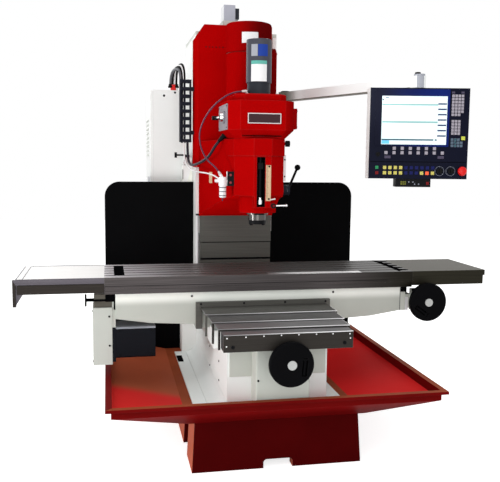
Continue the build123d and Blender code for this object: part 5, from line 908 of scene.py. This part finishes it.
def bed_details():
    """Trim of the bed, the pan and the drive box."""
    add, _, fix = makers("machine")
    for side, name in ((-1, "left"), (1, "right")):
        curve = [(side * BED_SIDE, PAN_FLOOR)]
        for step in range(9):
            angle = math.radians(11.25 * step)
            out = BED_SIDE + COVE_R - COVE_R * math.sin(angle)
            curve.append((side * out, PAN_FLOOR + COVE_R - COVE_R * math.cos(angle)))
        add(f"bed_cove_{name}", WHITE_BED, slab(curve, -905, 344, Y))
        spots = [(side * BED_SIDE, y, z) for y, z in ((-304, 469), (-646, 476), (-307, 357), (-650, 373))]
        fix(f"bed_screws_{name}", (side, 0, 0), 6, 3, *spots)
    bars = [box((-397, y, PAN_FLOOR), (-371, y + 12, PAN_FLOOR + 3)) for y in range(106, 226, 17)]
    frame_edges = border((-401, 100, -367, 232), (-397, 104, -371, 228), PAN_FLOOR - 0.5, PAN_FLOOR + 4)
    add("drain_grate", MATT, frame_edges, *bars, bevel=0.5)
    fix("drive_box_screws", FORWARD, 5.5, 3, *product((-124, 124), (-1030,), (479, 362)))


def column_details():
    """Trim of the column, its covers and its guards."""
    add, bar, fix = makers("machine")
    add("column_rod", PALE, rod((-253, 337, 712), (-253, 337, 1180), 5.5))
    bar("column_rod_groove", GREY_DARK, (-243, 343, 700), (-239, 345.4, 1060))
    add("column_rod_ends", SATIN, collar((-253, 337, 1176), UP, 0, 10, 10),
        box((-260, 330, 694), (-246, 344.5, 714)), bevel=1)
    block("head", "upper_cover_apron", PLATE, (-237, 322.6, 999), (237, 325.6, 1036), 0.4)
    block("head", "upper_cover_lip", MATT, (-237, 321.6, 997), (237, 324, 1002), 0.5)
    block("column_cover", "middle_cover_lip", MATT, (-235, 324, 884), (235, 326.6, 896), 0.6)
    add("guard_flange", BLACK, box((244.5, 341, 1068), (263, 344.9, 1384)),
        box((238.5, 341, 692), (263, 344.9, 1068)), bevel=0.5)
    bar("column_rear_cover", WHITE, (-205, 949, 420), (205, 953.5, 2120), 2)
    fix("rear_cover_screws", BACK, 6, 3, *product((-190, 190), (953.5,), (440, 850, 1270, 1690, 2100)))
    bar("column_side_cover", WHITE, (262, 560, 620), (266.5, 890, 1220), 2)
    fix("side_cover_bolts", RIGHT, 6, 3, *product((266.5,), (575, 875), (640, 920, 1200)))
    fix("z_guard_screws", UP, 6, 4, *product((-215, 215), (380, 640, 900), (2352,)))


def cabinet_details():
    """Trim of the electrical cabinet and the lubricator."""
    add, bar, _ = makers("machine")
    add("cabinet_plugs", SATIN, rivet((-447, 600, 1963), FORWARD, 8, 3),
        rivet((-373, 600, 1985), FORWARD, 7, 3))
    for name, material, level, places, profile in (
        ("socket_collars", SATIN, 2018, (-362, -401),
         [(5.2, 0), (17, 0), (17, 12), (13, 14), (13, 24), (5.2, 26)]),
        ("socket_plugs", RED_CAP, 1999, (-388, -376), [(14, 0), (14, 36), (11, 40), (5.2, 42)]),
    ):
        add(name, material, *[lathe((x, LOOP_SOCKET[0], level), UP, profile) for x in places])
    piece("door", "door_handle", PALE, box((-541, 636, 1300), (-538, 676, 1430)),
          box((-556, 646, 1330), (-541, 666, 1420)), bevel=3)
    louvres = []
    for step in range(9):
        level = 1560 + 30 * step
        louvres.append(slab([(-538.5, level), (-546, level), (-538.5, level + 16)], 780, 1010, Y))
    piece("door", "door_louvres", WHITE, *louvres)
    piece("door", "door_seal", RUBBER,
          border((612, 712, 1133, 1988), (624, 724, 1121, 1976), -521.5, -520.2, X))
    add("lubricator_knob", SATIN, lathe((-299, 542, 1551), UP, [
        (0, 0), (16, 0), (18, 3), (18, 16), (15, 19), (0, 19)]))
    add("lubricator_tap", SATIN, rod((-318, 497, 1498), (-318, 497, 1570), 5),
        rod((-316, 495, 1567), (-374, 490, 1567), 5.5), box((-387, 483, 1549), (-372, 497, 1585)), bevel=1)
    bar("lubricator_sight", SATIN, (-334, 487.5, 1405), (-330, 490.5, 1472), 0.8)
    add("lubricator_gauge", SILVER, lathe((-318, 489.5, 1515), FORWARD, [
        (0, 0), (13, 0), (13, 8), (11, 10), (0, 10)]))


def on_face(name, material, *shapes, bevel=0.0):
    """Piece of the control panel, in the panel's own directions."""
    return piece("panel", name, material, *shapes, bevel=bevel, turn=PANEL)


def panel_keys(name, material, size, *places):
    """Keys of one size, each given by its middle, on the panel's face."""
    wide, high = size
    shapes = []
    for x, z in places:
        shapes.append(box((x - wide / 2, PANEL_FACE - 3, z - high / 2),
                          (x + wide / 2, PANEL_FACE + 0.5, z + high / 2)))
    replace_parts(on_face(name, material, *shapes, bevel=1), "panel_keys")


def key_grid(left, top, step, columns, rows):
    """Middles of keys in even rows from the top left one: step is (across, down)."""
    across, down = step
    return [(left + across * column, top - down * row) for row in range(rows) for column in range(columns)]


def key_details():
    """All keys of the control panel."""
    pad = key_grid(178, 1893.5, (16.9, 16.7), 4, 7)[:-1]
    number = key_grid(180, 1758.5, (17, 16.3), 3, 5)
    arrows = key_grid(180, 1660.5, (16.6, 16.6), 3, 3)
    soft = key_grid(-130.5, 1611, (43.4, 0), 6, 1) + key_grid(-174.5, 1587.5, (43.5, 0), 8, 1)
    yellow = key_grid(-179.5, 1507, (29, 28.5), 4, 2)
    blue = key_grid(-64, 1507, (29.1, 28.5), 6, 2)[:-3]
    panel_keys("pad_keys", KEY_GREY, (14, 14), *pad, *number)
    panel_keys("pad_labels", KEY_DIM, (17, 11), (177.5, 1911), (228, 1911))
    panel_keys("arrow_keys", KEY_BLUE, (14, 14), *arrows, (230, 1643.9), (230, 1627.3))
    panel_keys("arrow_cross", KEY_TEAL, (11, 11), (196.6, 1660.5), (196.6, 1643.9), (196.6, 1627.3))
    panel_keys("soft_keys", KEY_GREY, (17, 17), *soft)
    panel_keys("wide_keys", KEY_DIM, (34, 15), (-166, 1564), (122, 1564))
    panel_keys("alarm_key", BRIGHT_CAP, (21, 20), (239, 1668))
    panel_keys("start_key", GREEN_CAP, (17, 17), (-222, 1507.5))
    panel_keys("halt_key", DARK_RED_CAP, (17, 17), (-221.5, 1478))
    panel_keys("mode_keys", YELLOW_CAP, (18, 18), *yellow, (21.6, 1478), (80.7, 1478.5))
    panel_keys("axis_keys", BLUE_CAP, (18, 18), *blue)
    panel_keys("lit_key", LIT_CAP, (18, 18), (51.2, 1478))


def screen_details():
    """Bezel and plain picture of the screen."""
    on_face("screen_bezel_frame", BEZEL, border((-238, 1621, 161, 1928), (-203.5, 1631.5, 147.5, 1890.5),
                                                PANEL_FACE - 2.4, PANEL_FACE + 1, Y), bevel=1)

    def field(left, low, right, high):
        return box((left, SCREEN_FACE - 0.7, low), (right, SCREEN_FACE + 0.3, high))

    on_face("screen_bars", SCREEN_TEAL, field(-201, 1841, 98, 1848), field(-201, 1748, 98, 1756))
    rows = [field(98, 1675.5 + 28.4 * step, 144, 1683 + 28.4 * step) for step in range(7)]
    on_face("screen_rows", SCREEN_BLUE, *rows)
    on_face("screen_foot", SCREEN_DARK, field(-201, 1653.5, 78, 1661), field(86, 1653.5, 96, 1661),
            field(-201, 1866, -194, 1874), field(-186, 1880, -168, 1885))
    on_face("screen_corner", SCREEN_SKY, field(-201, 1635, -160, 1653))


def panel_details():
    """Other trim of the control panel, its lower box and its back."""
    on_face("panel_plug", SATIN, lathe((-218, PANEL_FACE, 1578), FORWARD, [
        (0, 0), (12, 0), (12, 3), (10, 5), (4, 5), (3, 3), (0, 3)]))
    on_face("panel_seam", MATT, box((-262, PANEL_FACE - 0.6, 1537), (262, PANEL_FACE + 0.5, 1540)))
    for name, x in (("feed", 118), ("speed", 178)):
        marks = [spoke((x, CONTROL_Z), angle, 20.5, 24, 1.6, PANEL_FACE - 0.6, PANEL_FACE + 0.3)
                 for angle in range(-135, 136, 45)]
        circle = [(24, -0.3), (24, 0.6), (25.6, 0.6), (25.6, -0.3)]
        on_face(f"{name}_dial_marks", TICK, lathe((x, PANEL_FACE, CONTROL_Z), FORWARD, circle, 48), *marks)
    mushroom = [(0, 0), (23, 0), (24.5, 2), (24.5, 7), (23.6, 10), (21.6, 13), (18.4, 15.6), (14, 17.6),
                (8, 18.7), (0, 19)]
    piece("stop_button", "stop_mushroom", RED_CAP,
          lathe((238, PANEL_FACE - 11, CONTROL_Z + 1), FORWARD, mushroom, 64), turn=PANEL)
    cells = [box((x, -26, z), (x + 8.5, -24, z + 8.5)) for x in (-88, -77.5, -67) for z in (1414, 1425)]
    on_face("aux_display", OLIVE_CAP, *cells, bevel=0.4)
    on_face("aux_lamps", TICK, *[lathe((x, -25, z), FORWARD, [(4, 0), (4, 2), (3, 3), (0, 3)])
                                 for x, z in ((-43, 1429), (-21, 1429), (-11, 1418), (10, 1418))])
    on_face("aux_stop", DARK_RED_CAP, box((51, -27, 1415), (66, -24, 1431)), bevel=1)
    on_face("panel_back_vents", SATIN, *[
        box((-150, 79.5, 1560 + 24 * step), (150, 80.6, 1568 + 24 * step)) for step in range(8)])
    back_screws = product((-245, 245), (80,), (1470, 1690, 1910))
    on_face("panel_back_screws", SATIN, *[cap_screw(place, BACK, 5, 3) for place in back_screws])


def arm_details():
    """Trim of the control arm and its post."""
    piece("arm", "arm_pivot_cap", SATIN, lathe((*ARM_PIVOT, 2000), UP, [
        (0, 0), (30, 0), (30, 5), (26, 8), (0, 8)]))
    reach_x, reach_y = PANEL_AT[0] - ARM_PIVOT[0], PANEL_AT[1] - ARM_PIVOT[1]
    along = Matrix.Translation((*ARM_PIVOT, 0)) @ Matrix.Rotation(math.atan2(reach_y, reach_x), 4, Z)
    # dark strip on the arm's lower edge: painted shade
    piece("arm", "arm_lower_edge", OLIVE, box((60, -31, 1936.6), (1190, 31, 1942)), bevel=0.8, turn=along)
    piece("arm", "post_front", POST_GREY, wrapped(PANEL_AT, 34, (-46, 20), (1936.6, 2000.4), 1))
    piece("panel", "post_knob", SATIN, lathe((824, -622, 2010), UP, [
        (0, 0), (14, 0), (16, 2), (16, 7), (13, 10), (0, 10)]))


def seen_strength(tree, plain, seen):
    """One strength for the light that falls on things, another for what is seen directly or mirrored."""
    path = tree.nodes.new("ShaderNodeLightPath").outputs
    either = path["Is Camera Ray"]
    for ray in ("Is Glossy Ray", "Is Transmission Ray"):
        either = wire(tree, "Math", "Value", {0: either, 1: path[ray]}, operation="MAXIMUM")
    return wire(tree, "MapRange", "Result", {"Value": either, "To Min": plain, "To Max": seen})


def add_floor():
    """Pale floor."""
    mesh = bpy.data.meshes.new("floor")
    reach = FLOOR_REACH
    corners = [(-reach, -reach, 0), (reach, -reach, 0), (reach, reach, 0), (-reach, reach, 0)]
    mesh.from_pydata(corners, [], [(0, 1, 2, 3)])
    floor = new_object("floor", mesh)
    material = bpy.data.materials.new("floor")
    material.use_nodes = True
    tree = material.node_tree
    set_inputs(tree, tree.nodes["Principled BSDF"], {
        "Base Color": FLOOR_TINT, "Roughness": 0.9, "Specular IOR Level": 0.0, "Emission Color": BRIGHT,
        "Emission Strength": seen_strength(tree, 0.0, FLOOR_GLOW)})
    mesh.materials.append(material)


def add_light():
    """White surroundings, large soft lamps and a narrow beam on the control arm."""
    world = bpy.data.worlds.new("studio")
    bpy.context.scene.world = world
    world.use_nodes = True
    tree = world.node_tree
    set_inputs(tree, tree.nodes["Background"], {
        "Color": BRIGHT, "Strength": seen_strength(tree, WORLD_LIGHT, 1.0)})

    # Name, place, aim, size and power of each lamp; the one without a size is the beam
    for name, place, aim, size, power in (
        ("arm_fill", (-0.8, -4.3, 1.9), (0.68, -0.25, 1.98), 0, 380),
        ("key", (-3.2, -4.6, 4.6), (0, 0, 1.2), 3.0, 48),
        ("left", (-3.0, -1.3, 0.7), (-0.25, -0.5, 0.45), 0.8, 34),
        ("front", (-0.5, -5.2, 1.7), (0, 0, 1.0), 2.5, 48),
        ("top", (0.2, -0.6, 5.6), (0, -0.2, 1), 3.5, 52),
        ("back", (-2.5, 4.5, 3.5), (0, 0.4, 1.4), 3.0, 50),
    ):
        light = bpy.data.lights.new(name, "AREA" if size else "SPOT")
        light.energy = power
        if size:
            light.size = size
        else:
            light.spot_size = math.radians(ARM_BEAM)
            light.spot_blend = BEAM_BLEND
            light.shadow_soft_size = BEAM_SOURCE
        lamp = new_object(name, light)
        lamp.location = place
        lamp.rotation_euler = (Vector(aim) - Vector(place)).to_track_quat("-Z", "Y").to_euler()
    bpy.context.scene.view_settings.view_transform = "Standard"


add_camera()
add_cords()
add_loops()
dress_nodes()
paint_machine()
paint_head()
paint_panel()
head_details()
motor_details()
table_details()
saddle_details()
cover_details()
bed_details()
column_details()
cabinet_details()
key_details()
screen_details()
panel_details()
arm_details()
add_floor()
add_light()
